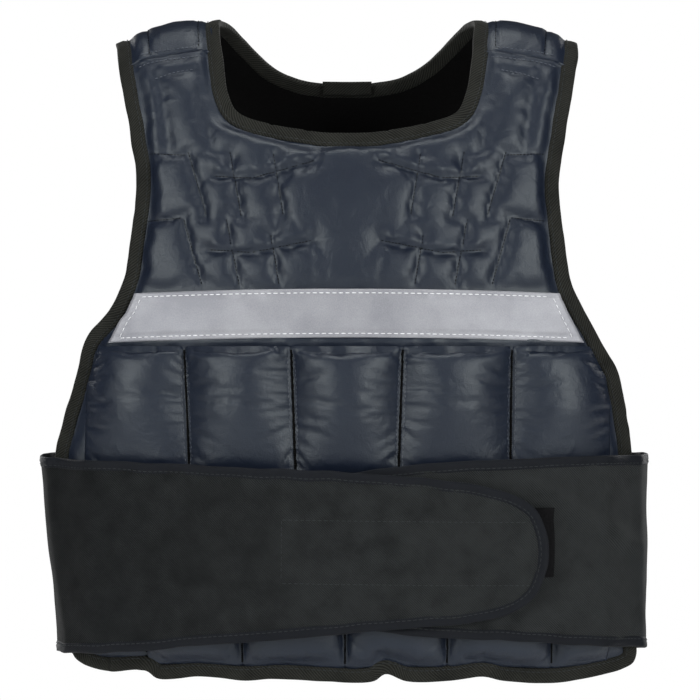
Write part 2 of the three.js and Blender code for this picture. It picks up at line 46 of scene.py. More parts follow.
# Sizes of the vest, in millimetres
HEM_DROP = 498
WAIST_HALF = 221
FRONT_DEPTH = 98
BACK_DEPTH = 86
SIDE_BOW = 62
SHOULDER_DROP = 18
NECK_HALF = 96
FRONT_NECK_DROP = 86
BACK_NECK_DROP = 43
STRAP_WIDTH = 80
ARM_HALF = NECK_HALF + STRAP_WIDTH
SHELL = 8
LAYER_GAP = 0.7
BINDING_WIDTH = 11.5
BINDING_LOW = -1.2
BINDING_HIGH = 5.3
PAD_REACH = 46
PAD_START = 0.45 * NECK_HALF
POCKET_DEPTH = 18
PRESSED_DEPTH = 13
PRESS_FADE = 40
POCKET_TOP = 246
POCKET_MEET = 336
UPPER_PITCH = 78
LOWER_PITCH = 75.5
STRIP_TOP = 203.5
STRIP_HEIGHT = 36
BELT_HEIGHT = 153
BELT_TOP = HEM_DROP - 18 - BELT_HEIGHT
BELT_THICKNESS = 2.5
BELT_TAPE = 8
BELT_MARGIN = 2
BELT_RAW_EDGE = 5.2
FLAP_REACH = 148
UNDER_REACH = 74
SIDE_ROUND = 0.17
SIDE_EASE = 3.8
TAPE_HEIGHT = 50
TAPE_TOP = BELT_TOP + 38
TAPE_THICKNESS = 1.2

# Shares of HEM_DROP, FRONT_DEPTH and BACK_DEPTH
PROFILE = np.array([
    (0.0, 0.0, 0.0), (0.009, 0.2, 0.22), (0.043, 0.37, 0.41), (0.088, 0.51, 0.58),
    (0.135, 0.64, 0.74), (0.2, 0.78, 0.88), (0.28, 0.9, 0.98), (0.37, 0.96, 1.0),
    (0.485, 1.0, 0.97), (0.635, 1.0, 0.91), (0.8, 0.98, 0.9), (0.92, 0.94, 0.91),
    (1.0, 0.9, 0.93), (1.07, 0.87, 0.94),
])
# Shares of HEM_DROP and, for left and right, of WAIST_HALF
EDGE = [
    (0.055, 0.789, 0.793), (0.105, 0.77, 0.776), (0.177, 0.737, 0.742), (0.252, 0.716, 0.722),
    (0.334, 0.734, 0.736), (0.393, 0.758, 0.758), (0.437, 0.802, 0.802), (0.481, 0.886, 0.857),
    (0.54, 0.925, 0.928), (0.608, 0.968, 0.955), (0.667, 1.0, 0.975), (0.804, 0.972, 0.978),
    (0.927, 0.94, 0.985),
]
HEM_CORNER = [(0.963, 0.936, 0.99), (0.976, 0.905, 0.978), (0.985, 0.85, 0.945)]
# Shares of WAIST_HALF and HEM_DROP
FRONT_HEM = [
    (-0.8, 0.987), (-0.68, 0.985), (-0.64, 0.996), (-0.5, 0.993), (-0.34, 0.997), (-0.2, 0.994),
    (0.02, 1.0), (0.09, 0.997), (0.13, 0.986), (0.2, 0.997), (0.34, 0.998), (0.46, 0.992),
    (0.53, 0.999), (0.7, 1.003), (0.82, 0.998), (0.89, 0.992),
]
# Shares of NECK_HALF and of the neckline's own drop
FRONT_NECK = [(0.995, 0.22), (0.97, 0.43), (0.935, 0.645), (0.85, 0.815), (0.6, 0.92), (0.3, 0.985)]
BACK_NECK = [(0.93, 0.06), (0.78, 0.36), (0.62, 0.68), (0.41, 0.92), (0.2, 1.0)]
# Shares of a wing's reach and of half the belt's height
LEFT_WING = [
    (-1.04, 0.925), (-0.78, 0.905), (0.015, 0.84), (0.466, 0.763), (0.715, 0.685), (0.86, 0.58),
    (0.945, 0.44), (0.99, 0.23), (1.0, 0.04), (0.985, -0.135), (0.93, -0.37), (0.8, -0.545),
    (0.6, -0.63), (0.24, -0.68), (-0.23, -0.765), (-0.72, -0.85), (-1.04, -0.93),
]
RIGHT_WING = [
    (-1.64, 0.965), (-0.5, 0.89), (-0.13, 0.84), (0.27, 0.77), (0.58, 0.655), (0.83, 0.41),
    (1.0, 0.06), (0.9, -0.28), (0.67, -0.475), (0.38, -0.59), (0.0, -0.67), (-0.54, -0.745),
    (-1.64, -0.82),
]


def clamp(x, low, high):
    return np.minimum(np.maximum(x, low), high)


def lerp(a, b, t):
    return a + (b - a) * t


def smoothstep(x, low, high):
    t = clamp((np.asarray(x, float) - low) / (high - low), 0, 1)
    return t * t * (3 - 2 * t)


def window(x, rise, full, fall, gone):
    """Goes from 0 to 1 between rise and full, and back between fall and gone."""
    return smoothstep(x, rise, full) * (1 - smoothstep(x, fall, gone))


def bump(x, centre, width):
    """A smooth hill of height 1."""
    return np.exp(-(((np.asarray(x, float) - centre) / width) ** 2))


def noise(x, y, scale, seed):
    """Smooth value noise from -1 to 1, the same on each run."""
    x = np.asarray(x, float) / scale + 500
    y = np.asarray(y, float) / scale + 500
    i, j = np.floor(x).astype(int), np.floor(y).astype(int)
    fx, fy = x - i, y - j
    fx, fy = fx * fx * (3 - 2 * fx), fy * fy * (3 - 2 * fy)

    def lattice(a, b):
        h = np.sin(a * 127.1 + b * 311.7 + seed * 74.7) * 43758.5453
        return 2 * (h - np.floor(h)) - 1

    low = lerp(lattice(i, j), lattice(i + 1, j), fx)
    high = lerp(lattice(i, j + 1), lattice(i + 1, j + 1), fx)
    return lerp(low, high, fy)


def between(grid, column, row):
    """The values of a grid between its columns and rows."""
    column = clamp(column, 0, grid.shape[1] - 1.001)
    row = clamp(row, 0, grid.shape[0] - 1.001)
    i, j = column.astype(int), row.astype(int)
    onward, up = column - i, row - j
    if grid.ndim == 3:
        onward, up = onward[..., None], up[..., None]
    low = lerp(grid[j, i], grid[j, i + 1], onward)
    return lerp(low, lerp(grid[j + 1, i], grid[j + 1, i + 1], onward), up)


def wrinkles(x, y, scale, seed, octaves=3):
    total = 0
    for k in range(octaves):
        total = total + noise(x, y, scale / 1.9**k, seed + 13 * k) * 0.55**k
    return total


# The body form


PROFILE_STEPS = 200


def catmull(points, closed=False, steps=PROFILE_STEPS):
    """Dense points of the centripetal Catmull-Rom curve through the given ones."""
    points = np.asarray(points, float)
    n = len(points)
    if closed:
        ring = np.vstack([points[-1:], points, points[:2]])
        spans = n
    else:
        ring = np.vstack([2 * points[0] - points[1], points, 2 * points[-1] - points[-2]])
        spans = n - 1
    t = np.linspace(0, 1, steps, endpoint=False)[:, None]
    out = []
    for i in range(spans):
        a, b, c, d = ring[i : i + 4]
        ab, bc, cd = (max(np.linalg.norm(q - p) ** 0.5, 1e-4) for p, q in ((a, b), (b, c), (c, d)))
        m = ((b - a) / ab - (c - a) / (ab + bc) + (c - b) / bc) * bc
        k = ((c - b) / bc - (d - b) / (bc + cd) + (d - c) / cd) * bc
        c2 = -3 * b + 3 * c - 2 * m - k
        c3 = 2 * b - 2 * c + m + k
        out.append(b + m * t + c2 * t**2 + c3 * t**3)
    if not closed:
        out.append(points[-1:])
    return np.vstack(out)


def lengths(points):
    return np.concatenate([[0], np.cumsum(np.linalg.norm(np.diff(points, axis=0), axis=1))])


def along_run(at, run, points):
    return np.stack([np.interp(at, run, column) for column in points.T], axis=1)


def resample(points, step, closed=False):
    """Evenly spaced points along a polyline, about step apart."""
    if closed:
        points = np.vstack([points, points[:1]])
    run = lengths(points)
    count = max(2, int(round(run[-1] / step)))
    at = np.linspace(0, run[-1], count + 1)
    even = along_run(at, run, points)
    return even[:-1] if closed else even


front_rows = [(-f * FRONT_DEPTH, -d * HEM_DROP) for d, f, _ in PROFILE[::-1]]
back_rows = [(b * BACK_DEPTH, -d * HEM_DROP) for d, _, b in PROFILE[1:]]
PROFILE_CURVE = catmull(front_rows + back_rows)
PROFILE_RUN = lengths(PROFILE_CURVE)
RIDGE = PROFILE_RUN[PROFILE_STEPS * (len(PROFILE) - 1)]
PROFILE_LENGTH = PROFILE_RUN[-1]


def form_point(across, along):
    """The inside of the vest at flat places."""
    across, along = np.broadcast_arrays(np.asarray(across, float), np.asarray(along, float))
    at = clamp(RIDGE + along, 0, PROFILE_LENGTH)
    y = np.interp(at, PROFILE_RUN, PROFILE_CURVE[:, 0])
    z = np.interp(at, PROFILE_RUN, PROFILE_CURVE[:, 1])
    bow = SIDE_BOW * smoothstep(np.abs(along), 20, 190)
    y = y - np.sign(along) * bow * (across / WAIST_HALF) ** 2
    slope = np.maximum(0, (np.abs(across) - NECK_HALF) / STRAP_WIDTH)
    z = z - SHOULDER_DROP * slope**1.15 * (1 - smoothstep(np.abs(along), 0, 130))
    return np.stack([across, y, z], axis=-1)


NEARBY = 2.0  # how far off the places lie that the form's direction is read from


def outward(across, along):
    sideways = form_point(across + NEARBY, along) - form_point(across - NEARBY, along)
    onward = form_point(across, along + NEARBY) - form_point(across, along - NEARBY)
    normal = np.cross(sideways, onward)
    return normal / np.linalg.norm(normal, axis=-1, keepdims=True)


def on_body(across, along, height):
    return form_point(across, along) + outward(across, along) * np.asarray(height, float)[..., None]


def cloth_length(side):
    return RIDGE if side < 0 else PROFILE_LENGTH - RIDGE


def along_at(across, below, side):
    """The way along the cloth to a depth below the origin: side is -1 in front, 1 behind."""
    across, below = np.broadcast_arrays(np.asarray(across, float), np.asarray(below, float))
    near = np.zeros(across.shape)
    far = np.full(across.shape, cloth_length(side))
    for _ in range(26):
        middle = (near + far) / 2
        short = -form_point(across, side * middle)[..., 2] < below
        near = np.where(short, middle, near)
        far = np.where(short, far, middle)
    return side * (near + far) / 2


def depth_of(across, along):
    return -form_point(across, along)[..., 2]


# Outlines


def edge_point(row, which, side):
    share = row[1 + (which > 0)] if side < 0 else (row[1] + row[2]) / 2
    across = which * share * WAIST_HALF
    return (across, float(along_at(across, row[0] * HEM_DROP, side)))


def edge_half(below, which, side):
    """Centre line to the arm or side edge, at a depth."""
    down = [row[0] * HEM_DROP for row in EDGE]
    half = [abs(edge_point(row, which, side)[0]) for row in EDGE]
    return np.interp(below, down, half)


def outer_outline():
    down = EDGE + HEM_CORNER
    up = down[::-1]
    hem = [(a * WAIST_HALF, d * HEM_DROP) for a, d in FRONT_HEM]
    points = [(across, float(along_at(across, below, -1))) for across, below in hem]
    points += [edge_point(row, 1, -1) for row in up] + [(ARM_HALF, 0)]
    points += [edge_point(row, 1, 1) for row in down]
    half = 0.84 * WAIST_HALF
    for i in range(23):
        across = lerp(half, -half, i / 22)
        wave = 2 * math.cos(2 * math.pi * across / LOWER_PITCH)
        points.append((across, float(along_at(across, HEM_DROP - 2 + wave, 1))))
    points += [edge_point(row, -1, 1) for row in up] + [(-ARM_HALF, 0)]
    points += [edge_point(row, -1, -1) for row in down]
    return resample(catmull(points, closed=True, steps=40), 2.4, closed=True)


def neck_outline():
    def at(row, which, side):
        across = which * row[0] * NECK_HALF
        drop = FRONT_NECK_DROP if side < 0 else BACK_NECK_DROP
        return (across, float(along_at(across, row[1] * drop, side)))

    points = [(-NECK_HALF, 0)] + [at(row, -1, -1) for row in FRONT_NECK]
    points += [at((0, 1), 1, -1)] + [at(row, 1, -1) for row in FRONT_NECK[::-1]]
    points += [(NECK_HALF, 0)] + [at(row, 1, 1) for row in BACK_NECK]
    points += [at((0, 1), 1, 1)] + [at(row, -1, 1) for row in BACK_NECK[::-1]]
    return resample(catmull(points, closed=True, steps=40), 2.2, closed=True)


def beside(path, distance, closed=True):
    """The path moved to its left."""
    if closed:
        way = np.roll(path, -1, axis=0) - np.roll(path, 1, axis=0)
    else:
        way = np.gradient(path, axis=0)
    way /= np.linalg.norm(way, axis=1, keepdims=True)
    left = np.stack([-way[:, 1], way[:, 0]], axis=1)
    return path + left * np.asarray(distance, float).reshape(-1, 1)


def inside_by(x, y, path):
    """How far points lie inside a closed path; negative outside."""
    shape = x.shape
    px, py = x.ravel(), y.ravel()
    nearest = np.full(px.shape, 1e9)
    inside = np.zeros(px.shape, bool)
    ends = np.roll(path, -1, axis=0)
    for (ax, ay), (bx, by) in zip(path, ends):
        dx, dy = bx - ax, by - ay
        t = clamp(((px - ax) * dx + (py - ay) * dy) / (dx * dx + dy * dy + 1e-12), 0, 1)
        nearest = np.minimum(nearest, (px - ax - t * dx) ** 2 + (py - ay - t * dy) ** 2)
        if ay != by:
            crosses = ((ay > py) != (by > py)) & (px < dx * (py - ay) / dy + ax)
            inside ^= crosses
    return (np.sqrt(nearest) * np.where(inside, 1, -1)).reshape(shape)


OUTER = outer_outline()
NECK = neck_outline()
COARSE_OUTER = OUTER[::3]
COARSE_NECK = NECK[::2]


def cloth_margin(x, y):
    """How far flat points lie inside the shell's raw edge."""
    return np.minimum(inside_by(x, y, COARSE_OUTER), -inside_by(x, y, COARSE_NECK))


# Meshes


def make_mesh(name, vertices, faces):
    mesh = bpy.data.meshes.new(name)
    mesh.from_pydata((np.asarray(vertices) * MM).tolist(), [], [list(f) for f in faces])
    mesh.validate()
    mesh.polygons.foreach_set("use_smooth", [True] * len(mesh.polygons))
    mesh.update()
    made = bpy.data.objects.new(name, mesh)
    bpy.context.scene.collection.objects.link(made)
    return made


def keep_flow(made, places):
    """Keeps each vertex's flat place, in metres, for the weave."""
    corners = np.empty(len(made.data.loops), int)
    made.data.loops.foreach_get("vertex_index", corners)
    layer = made.data.uv_layers.new(name="flow")
    layer.data.foreach_set("uv", (np.asarray(places)[corners] * MM).ravel())


def grid_solid(name, top, bottom, cells=None, flow=None):
    """A closed body between two grids of points, over the chosen cells or all of them."""
    rows, columns = top.shape[:2]
    if cells is None:
        cells = np.ones((rows - 1, columns - 1), bool)
    count = rows * columns
    index = np.arange(count).reshape(rows, columns)
    a, b = index[:-1, :-1], index[:-1, 1:]
    d, c = index[1:, :-1], index[1:, 1:]
    quads = np.stack([a, b, c, d], axis=-1)[cells]
    faces = [quads, quads[:, ::-1] + count]
    padded = np.pad(cells, 1)
    for rolled, (p, q) in (
        (padded[:-2, 1:-1], (a, b)), (padded[2:, 1:-1], (c, d)),
        (padded[1:-1, :-2], (d, a)), (padded[1:-1, 2:], (b, c)),
    ):
        rim = cells & ~rolled
        faces.append(np.stack([q[rim], p[rim], p[rim] + count, q[rim] + count], axis=-1))
    faces = np.vstack(faces)
    vertices = np.vstack([top.reshape(-1, 3), bottom.reshape(-1, 3)])
    used = np.unique(faces)
    remap = np.zeros(len(vertices), int)
    remap[used] = np.arange(len(used))
    made = make_mesh(name, vertices[used], remap[faces])
    if flow is not None:
        places = np.stack([flow[0].ravel(), flow[1].ravel()], axis=-1)
        keep_flow(made, np.vstack([places, places])[used])
    return made


def sweep(name, rings, closed):
    """A tube through rings of points, with flat ends if it is open."""
    count, around = rings.shape[:2]
    index = np.arange(count * around).reshape(count, around)
    ahead = np.roll(index, -1, axis=0) if closed else index[1:]
    here = index if closed else index[:-1]
    faces = np.stack(
        [here, np.roll(here, -1, axis=1), np.roll(ahead, -1, axis=1), ahead], axis=-1
    ).reshape(-1, 4).tolist()
    if not closed:
        faces += [index[0][::-1].tolist(), index[-1].tolist()]
    return make_mesh(name, rings.reshape(-1, 3), faces)


def face_out(made):
    """Turns a closed body's faces outward."""
    work = bmesh.new()
    work.from_mesh(made.data)
    bmesh.ops.recalc_face_normals(work, faces=work.faces)
    if work.calc_volume(signed=True) < 0:
        bmesh.ops.reverse_faces(work, faces=work.faces)
    work.to_mesh(made.data)
    work.free()
    return made


def dress(made, material, slot, *nodes):
    """Gives a piece its material and its place in the frame."""
    face_out(made)
    made.data.materials.append(material)
    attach(made, "root")
    if nodes:
        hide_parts(*nodes)
    return made


# Cloth simulation in flat space

SIM_SCALE = 10  # the cloth is worked at ten times its size, where the solver is steady


def drape(x, y, z, pinned, growth, pressure, frames, bending):
    """Where sewn cloth with some spare length comes to lie over its filling.

    x, y and z are grids of flat places, and pinned ones hold still.
    """
    scene = bpy.context.scene
    rows, columns = x.shape
    index = np.arange(rows * columns).reshape(rows, columns)
    quads = np.stack([index[:-1, :-1], index[:-1, 1:], index[1:, 1:], index[1:, :-1]], axis=-1)
    if y[-1, 0] < y[0, 0]:
        quads = quads[..., ::-1]
    jitter = 0.3 * np.random.default_rng(7).random(x.shape) * ~pinned
    points = np.stack([x, y, z + jitter], axis=-1).reshape(-1, 3)
    made = make_mesh("cloth_work", points * SIM_SCALE, quads.reshape(-1, 4))
    group = made.vertex_groups.new(name="pin")
    group.add(np.flatnonzero(pinned.ravel()).tolist(), 1.0, "REPLACE")
    cloth = made.modifiers.new("cloth", "CLOTH")
    s = cloth.settings
    s.vertex_group_mass = "pin"
    s.quality = 5
    s.mass = 0.005
    s.tension_stiffness = s.compression_stiffness = 15
    s.shear_stiffness = 5
    s.bending_stiffness = bending
    s.tension_damping = s.compression_damping = 5
    s.bending_damping = 0.5
    s.air_damping = 1
    s.use_pressure = True
    s.uniform_pressure_force = pressure
    s.shrink_min = -growth
    s.effector_weights.gravity = 0
    cloth.collision_settings.use_collision = False
    cloth.point_cache.frame_start, cloth.point_cache.frame_end = 1, frames
    for f in range(1, frames + 1):
        scene.frame_set(f)
    seen = made.evaluated_get(bpy.context.evaluated_depsgraph_get())
    flat = np.empty(points.size)
    seen.data.vertices.foreach_get("co", flat)
    mesh = made.data
    bpy.data.objects.remove(made)
    bpy.data.meshes.remove(mesh)
    scene.frame_set(1)
    out = flat.reshape(rows, columns, 3) / MM / SIM_SCALE
    return out[..., 0], out[..., 1], out[..., 2]


# Materials


class Shader:
    """A few words for building a node material."""

    def __init__(self, name):
        self.material = bpy.data.materials.new(name)
        self.material.use_nodes = True
        self.tree = self.material.node_tree
        self.out = self.tree.nodes["Principled BSDF"]
        self.place = self.add("TexCoord").outputs["Object"]

    def put(self, node, key, value):
        """Sets an input to a number or a colour, or joins it to another node's output."""
        if isinstance(value, bpy.types.NodeSocket):
            self.tree.links.new(value, node.inputs[key])
        else:
            node.inputs[key].default_value = value

    def add(self, kind, *inputs, **settings):
        """A new node with some settings, and with inputs given as (name, value)."""
        node = self.tree.nodes.new(f"ShaderNode{kind}")
        for key, value in settings.items():
            setattr(node, key, value)
        for key, value in inputs:
            self.put(node, key, value)
        return node

    def finish(self, **values):
        for key, value in values.items():
            self.put(self.out, key.replace("_", " "), value)
        return self.material

    def noise(self, scale, detail=3.0, rough=0.55, vector=None, distortion=0.0):
        node = self.add(
            "TexNoise", ("Scale", scale), ("Detail", detail), ("Roughness", rough),
            ("Distortion", distortion), ("Vector", vector or self.place),
        )
        return node.outputs["Fac"]

    def math(self, kind, a, b):
        return self.add("Math", (0, a), (1, b), operation=kind).outputs[0]

    def ramp(self, fac, *stops):
        node = self.add("ValToRGB", ("Fac", fac))
        ramp = node.color_ramp
        while len(ramp.elements) < len(stops):
            ramp.elements.new(0.5)
        for element, (at, colour) in zip(ramp.elements, stops):
            element.position = at
            element.color = (*colour, 1)
        return node.outputs["Color"]

    def bumps(self, *layers):
        """Each layer is (height, distance in millimetres, strength)."""
        below = []
        for height, distance, strength in layers:
            inputs = [("Strength", strength), ("Distance", distance * MM), ("Height", height)]
            below = [("Normal", self.add("Bump", *inputs, *below).outputs["Normal"])]
        return below[0][1]


def nylon_material():
    m = Shader("nylon")
    grain = m.math("MULTIPLY", m.noise(1300, 2, 0.7), 0.5)
    patches = m.math("ADD", m.math("MULTIPLY", m.noise(22, 3, 0.6), 0.5), grain)
    colour = m.ramp(patches, (0.3, (0.0042, 0.0078, 0.0195)), (0.7, (0.0108, 0.0158, 0.0285)))
    fold = m.noise(60, 2, 0.5, None, 0.8)
    longer = m.add("Mapping", ("Scale", (1.0, 1.0, 0.8)), ("Vector", m.place)).outputs["Vector"]
    crinkle = m.noise(230, 3, 0.6, longer, 0.5)
    weave = m.noise(1100, 2, 0.7)
    relief = m.bumps((fold, 2.5, 0.3), (crinkle, 0.9, 0.16), (weave, 0.3, 0.75))
    return m.finish(
        Base_Color=colour, Normal=relief, Roughness=0.415, Specular_IOR_Level=0.46,
        Specular_Tint=(0.93, 1.0, 0.985, 1),
    )


def tape_material(name, dark, light, pitch, rough, relief, painted_shade_slope=0.0):
    """Twill: ribs that cross the cloth at a slant, from the flat places kept with the mesh. With a
    slope, the colour is also darkened steadily toward negative X, which is painted shade.
    """
    m = Shader(name)
    flow = m.add("UVMap", uv_map="flow").outputs["UV"]
    ribs = m.add(
        "TexWave", ("Scale", 0.628 / (pitch * MM) / 2 * 1.41), ("Distortion", 0.35),
        ("Vector", flow), bands_direction="DIAGONAL",
    ).outputs["Fac"]
    soil = m.noise(60, 3)
    mixed = m.math("MULTIPLY", m.math("ADD", ribs, 0.35), m.math("ADD", soil, 0.2))
    if painted_shade_slope:
        # painted shade: the colour darkens steadily toward negative X, the left of the front view;
        # the specks are the cloth's own
        across = m.add("SeparateXYZ", (0, m.place)).outputs["X"]
        painted_shade_factor = m.math("ADD", m.math("MULTIPLY", across, painted_shade_slope), 0.83)
        speck = m.math("ADD", m.math("MULTIPLY", m.noise(900, 2, 0.7), 0.9), 0.55)
        mixed = m.math("MULTIPLY", m.math("MULTIPLY", mixed, painted_shade_factor), speck)
    return m.finish(
        Base_Color=m.ramp(mixed, (0.2, dark), (0.8, light)),
        Normal=m.bumps((m.noise(150, 3), 0.8, 0.35), (ribs, relief, 0.8)),
        Roughness=rough, Specular_IOR_Level=0.12, Sheen_Weight=0.03, Sheen_Roughness=0.5,
    )


def strip_material():
    m = Shader("reflective")
    fine = m.noise(1500, 2, 0.6)
    wide = m.noise(18, 3)
    mixed = m.math("ADD", m.math("MULTIPLY", fine, 0.35), m.math("MULTIPLY", wide, 0.65))
    return m.finish(
        Base_Color=m.ramp(mixed, (0.36, (0.23, 0.236, 0.262)), (0.64, (0.375, 0.38, 0.405))),
        Normal=m.bumps((m.noise(45, 3, 0.5, None, 0.3), 1.6, 0.4), (fine, 0.05, 0.4)),
        Roughness=0.5, Metallic=0.15, Specular_IOR_Level=0.4,
    )


def plain_material(name, colour, rough, scale=900, depth=0.15):
    m = Shader(name)
    grain = m.noise(scale, 3)
    light = tuple(1.25 * c + 0.002 for c in colour)
    return m.finish(
        Base_Color=m.ramp(grain, (0.3, colour), (0.7, light)),
        Normal=m.bumps((grain, depth, 0.6)), Roughness=rough, Specular_IOR_Level=0.1,
    )


NYLON = nylon_material()
BINDING = tape_material("binding", (0.003, 0.0034, 0.0026), (0.022, 0.0228, 0.019), 1.7, 0.7, 0.4)
# the belt's last number darkens its colour toward negative X: painted shade
BELT = tape_material("belt", (0.0028, 0.0036, 0.004), (0.0275, 0.0305, 0.031), 1.3, 0.85, 0.35, 1.6)
EDGING = tape_material("edging", (0.0028, 0.0038, 0.006), (0.0075, 0.0092, 0.0125), 1.0, 0.6, 0.2)
STRIP = strip_material()
# near-black: the lining, and also the rods laid in seams and valleys as painted shade
LINING_AND_SEAM_SHADE = plain_material("lining", (0.0012, 0.0012, 0.0012), 1.0)
FUZZ = plain_material("fastener", (0.004, 0.004, 0.0045), 1.0, 700, 0.9)
WHITE_THREAD = plain_material("white_thread", (0.72, 0.73, 0.75), 0.6)
DARK_THREAD = plain_material("dark_thread", (0.03, 0.034, 0.036), 0.6)
GREY_THREAD = plain_material("grey_thread", (0.09, 0.1, 0.12), 0.6)


# Stitches


def stitches(name, line, out, pitch, length, width, material, slot):
    """Short rounded threads along a line of points, with the surface's outward direction."""
    run = lengths(line)
    count = int(run[-1] / pitch)
    starts = (np.arange(count) + 0.5) * pitch - length / 2
    around = 6
    rings = []
    for share, fat in ((0.0, 0.45), (0.2, 0.9), (0.5, 1.0), (0.8, 0.9), (1.0, 0.45)):
        at = starts + share * length
        centre, normal = along_run(at, run, line), along_run(at, run, out)
        rise = 0.25 * math.sin(math.pi * share) * width
        way = along_run(at + 0.5, run, line) - along_run(at - 0.5, run, line)
        way /= np.linalg.norm(way, axis=1, keepdims=True) + 1e-9
        cross = np.cross(way, normal)
        ring = []
        for k in range(around):
            turn = 2 * math.pi * k / around
            offset = cross * math.cos(turn) + normal * math.sin(turn) * 0.7
            ring.append(centre + normal * rise + offset * width / 2 * fat)
        rings.append(np.stack(ring, axis=1))
    points = np.stack(rings, axis=1)
    index = np.arange(count * len(rings) * around).reshape(count, -1, around)
    here, ahead = index[:, :-1], index[:, 1:]
    sides = np.stack([here, np.roll(here, -1, axis=2), np.roll(ahead, -1, axis=2), ahead], axis=-1)
    faces = sides.reshape(-1, 4).tolist() + index[:, 0, ::-1].tolist() + index[:, -1].tolist()
    made = make_mesh(name, points.reshape(-1, 3), faces)
    made.data.materials.append(material)
    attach(made, "root")
    return made


def lifted(mapper, x, y, height):
    """Points of a line on a surface, and the outward direction there."""
    base = mapper(x, y, height)
    out = mapper(x, y, height + 1) - base
    return base, out


# The shell

STEP = 2.5
SHELL_MARGIN = 6.0
QUILT_FOOT = 206
PUFF_LIMIT = 4.2
SEAM_SINK = -2.8
# Quilting seams of the left chest and strap as (across, below) ends; the right side is a mirror
CHEST_SEAMS = [
    ((-118.5, 100), (-103.5, 150)), ((-121, 151), (-107, 201)), ((-87, 101), (-78, 150)),
    ((-89, 151), (-79.5, 201)), ((-54.5, 103), (-47, 149)), ((-56, 163), (-50, 201)),
    ((-149, 101), (-118.5, 103)), ((-149, 152), (-121, 150)), ((-98, 119), (-70, 121)),
    ((-70, 121), (-23, 108)), ((-101, 174), (-70, 176)), ((-70, 176), (-25, 167)),
    ((-144.8, 39), (-132, 100)), ((-112.5, 46), (-101, 99)),
    ((-158, 38), (-142, 33)), ((-142, 33), (-107, 29)), ((-145, 45), (-114, 39)),
]


def shell_grid(side):
    columns = np.arange(-225, 225.1, STEP)
    rows = np.arange(PAD_REACH + 0.3, cloth_length(side), STEP) * side
    return np.meshgrid(columns, rows)


def four(grid):
    """The four values round each place between the places of a grid."""
    return np.stack([grid[:-1, :-1], grid[:-1, 1:], grid[1:, :-1], grid[1:, 1:]])


def trim(x, y, margin, distance):
    """The cells inside a distance from the edge, with their rim moved exactly onto it."""
    cells = four(margin > distance).all(axis=0)
    around = four(np.pad(cells, 1))
    rim = around.any(axis=0) & ~around.all(axis=0)
    rise_y, rise_x = np.gradient(margin)
    rise_x = rise_x / (np.gradient(x, axis=1) + 1e-9)
    rise_y = rise_y / (np.gradient(y, axis=0) + 1e-9)
    size = np.maximum(rise_x**2 + rise_y**2, 0.5)
    move = np.where(rim, clamp((margin - distance) / size, 0, 3.2), 0)
    return x - clamp(rise_x, -1, 1) * move, y - clamp(rise_y, -1, 1) * move, cells


def sew(x, y, pinned, line):
    """Moves the nearest grid places onto a seam and pins them there."""
    (ax, ad), (bx, bd) = line
    across = np.linspace(ax, bx, 80)
    along = along_at(across, np.linspace(ad, bd, 80), -1)
    if abs(bd - ad) >= abs(bx - ax):
        for r in range(len(y)):
            if min(along) <= y[r, 0] <= max(along):
                seam = float(np.interp(-y[r, 0], -along, across))
                c = int(np.argmin(np.abs(x[r] - seam)))
                x[r, c] = seam
                pinned[r, c] = True
        return
    for c in range(x.shape[1]):
        if min(ax, bx) <= x[0, c] <= max(ax, bx):
            seam = float(np.interp(x[0, c], across, along))
            r = int(np.argmin(np.abs(y[:, c] - seam)))
            y[r, c] = seam
            pinned[r, c] = True


def mirrored(line):
    (ax, ad), (bx, bd) = line
    if abs(bd - ad) >= abs(bx - ax):
        return ((-ax, ad), (-bx, bd))
    return ((-bx, bd), (-ax, ad))


def soften(grid, times):
    """Evens out a grid of heights a little."""
    for _ in range(times):
        around = np.pad(grid, 1, "edge")
        above, under, left, right = (
            around[:-2, 1:-1], around[2:, 1:-1], around[1:-1, :-2], around[1:-1, 2:],
        )
        grid = (above + under + left + right + 4 * grid) / 8
    return grid


def quilt(x, y, margin):
    """The quilted chest and straps: cloth sewn down along the seams and puffed between them."""
    last = int(np.argmax(depth_of(0, y[:, 0]) > QUILT_FOOT))
    sx, sy, sm = x[:last].copy(), y[:last].copy(), margin[:last]
    pinned = sm < 12
    pinned[0] = pinned[-2:] = True
    seams = np.zeros(sx.shape, bool)
    for line in CHEST_SEAMS:
        sew(sx, sy, seams, line)
        sew(sx, sy, seams, mirrored(line))
    start = np.where(seams, SEAM_SINK, 0.0) * smoothstep(sm, 8, 14)
    qx, qy, qz = drape(sx, sy, start, pinned | seams, 0.06, 5, 26, 0.35)
    qz = np.where(qz > 0, PUFF_LIMIT * np.tanh(qz / PUFF_LIMIT), qz)
    calm = 1 - smoothstep(depth_of(sx, sy), 96, 108)
    qz = lerp(soften(qz, 1), soften(qz, 5), calm)
    x, y = x.copy(), y.copy()
    x[:last], y[:last] = qx, qy
    puff = np.zeros(x.shape)
    puff[:last] = qz
    return x, y, puff


# Stitch lines across the top of the left strap as (across, below) places
STRAP_STITCHES = [
    [(-156, 29), (-140, 26), (-112, 22.5)],
    [(-158, 37), (-142, 33), (-106, 28.5)],
    [(-145, 46), (-128, 41), (-113, 39)],
]
# Level seams of the chest as (across, below) places, where the cloth above hangs over
CHEST_FOLDS = [[(23, 108), (70, 121), (98, 119)], [(25, 167), (70, 176), (101, 174)]]


def fold_over(x, below):
    """A lip that rises toward each level seam and drops off sharply over it."""
    total = 0
    for line in CHEST_FOLDS:
        across, level = np.array(line, float).T
        past = below - np.interp(np.abs(x), across, level) + 2
        lip = np.where(past < 0, bump(past, 0, 7), bump(past, 0, 1.4))
        first, last = across[[0, -1]]
        reach = window(np.abs(x), first - 4, first + 8, last - 6, last + 4)
        total = total + 3.0 * lip * reach * (1 + 0.35 * noise(x, 0, 11, 8))
    return total


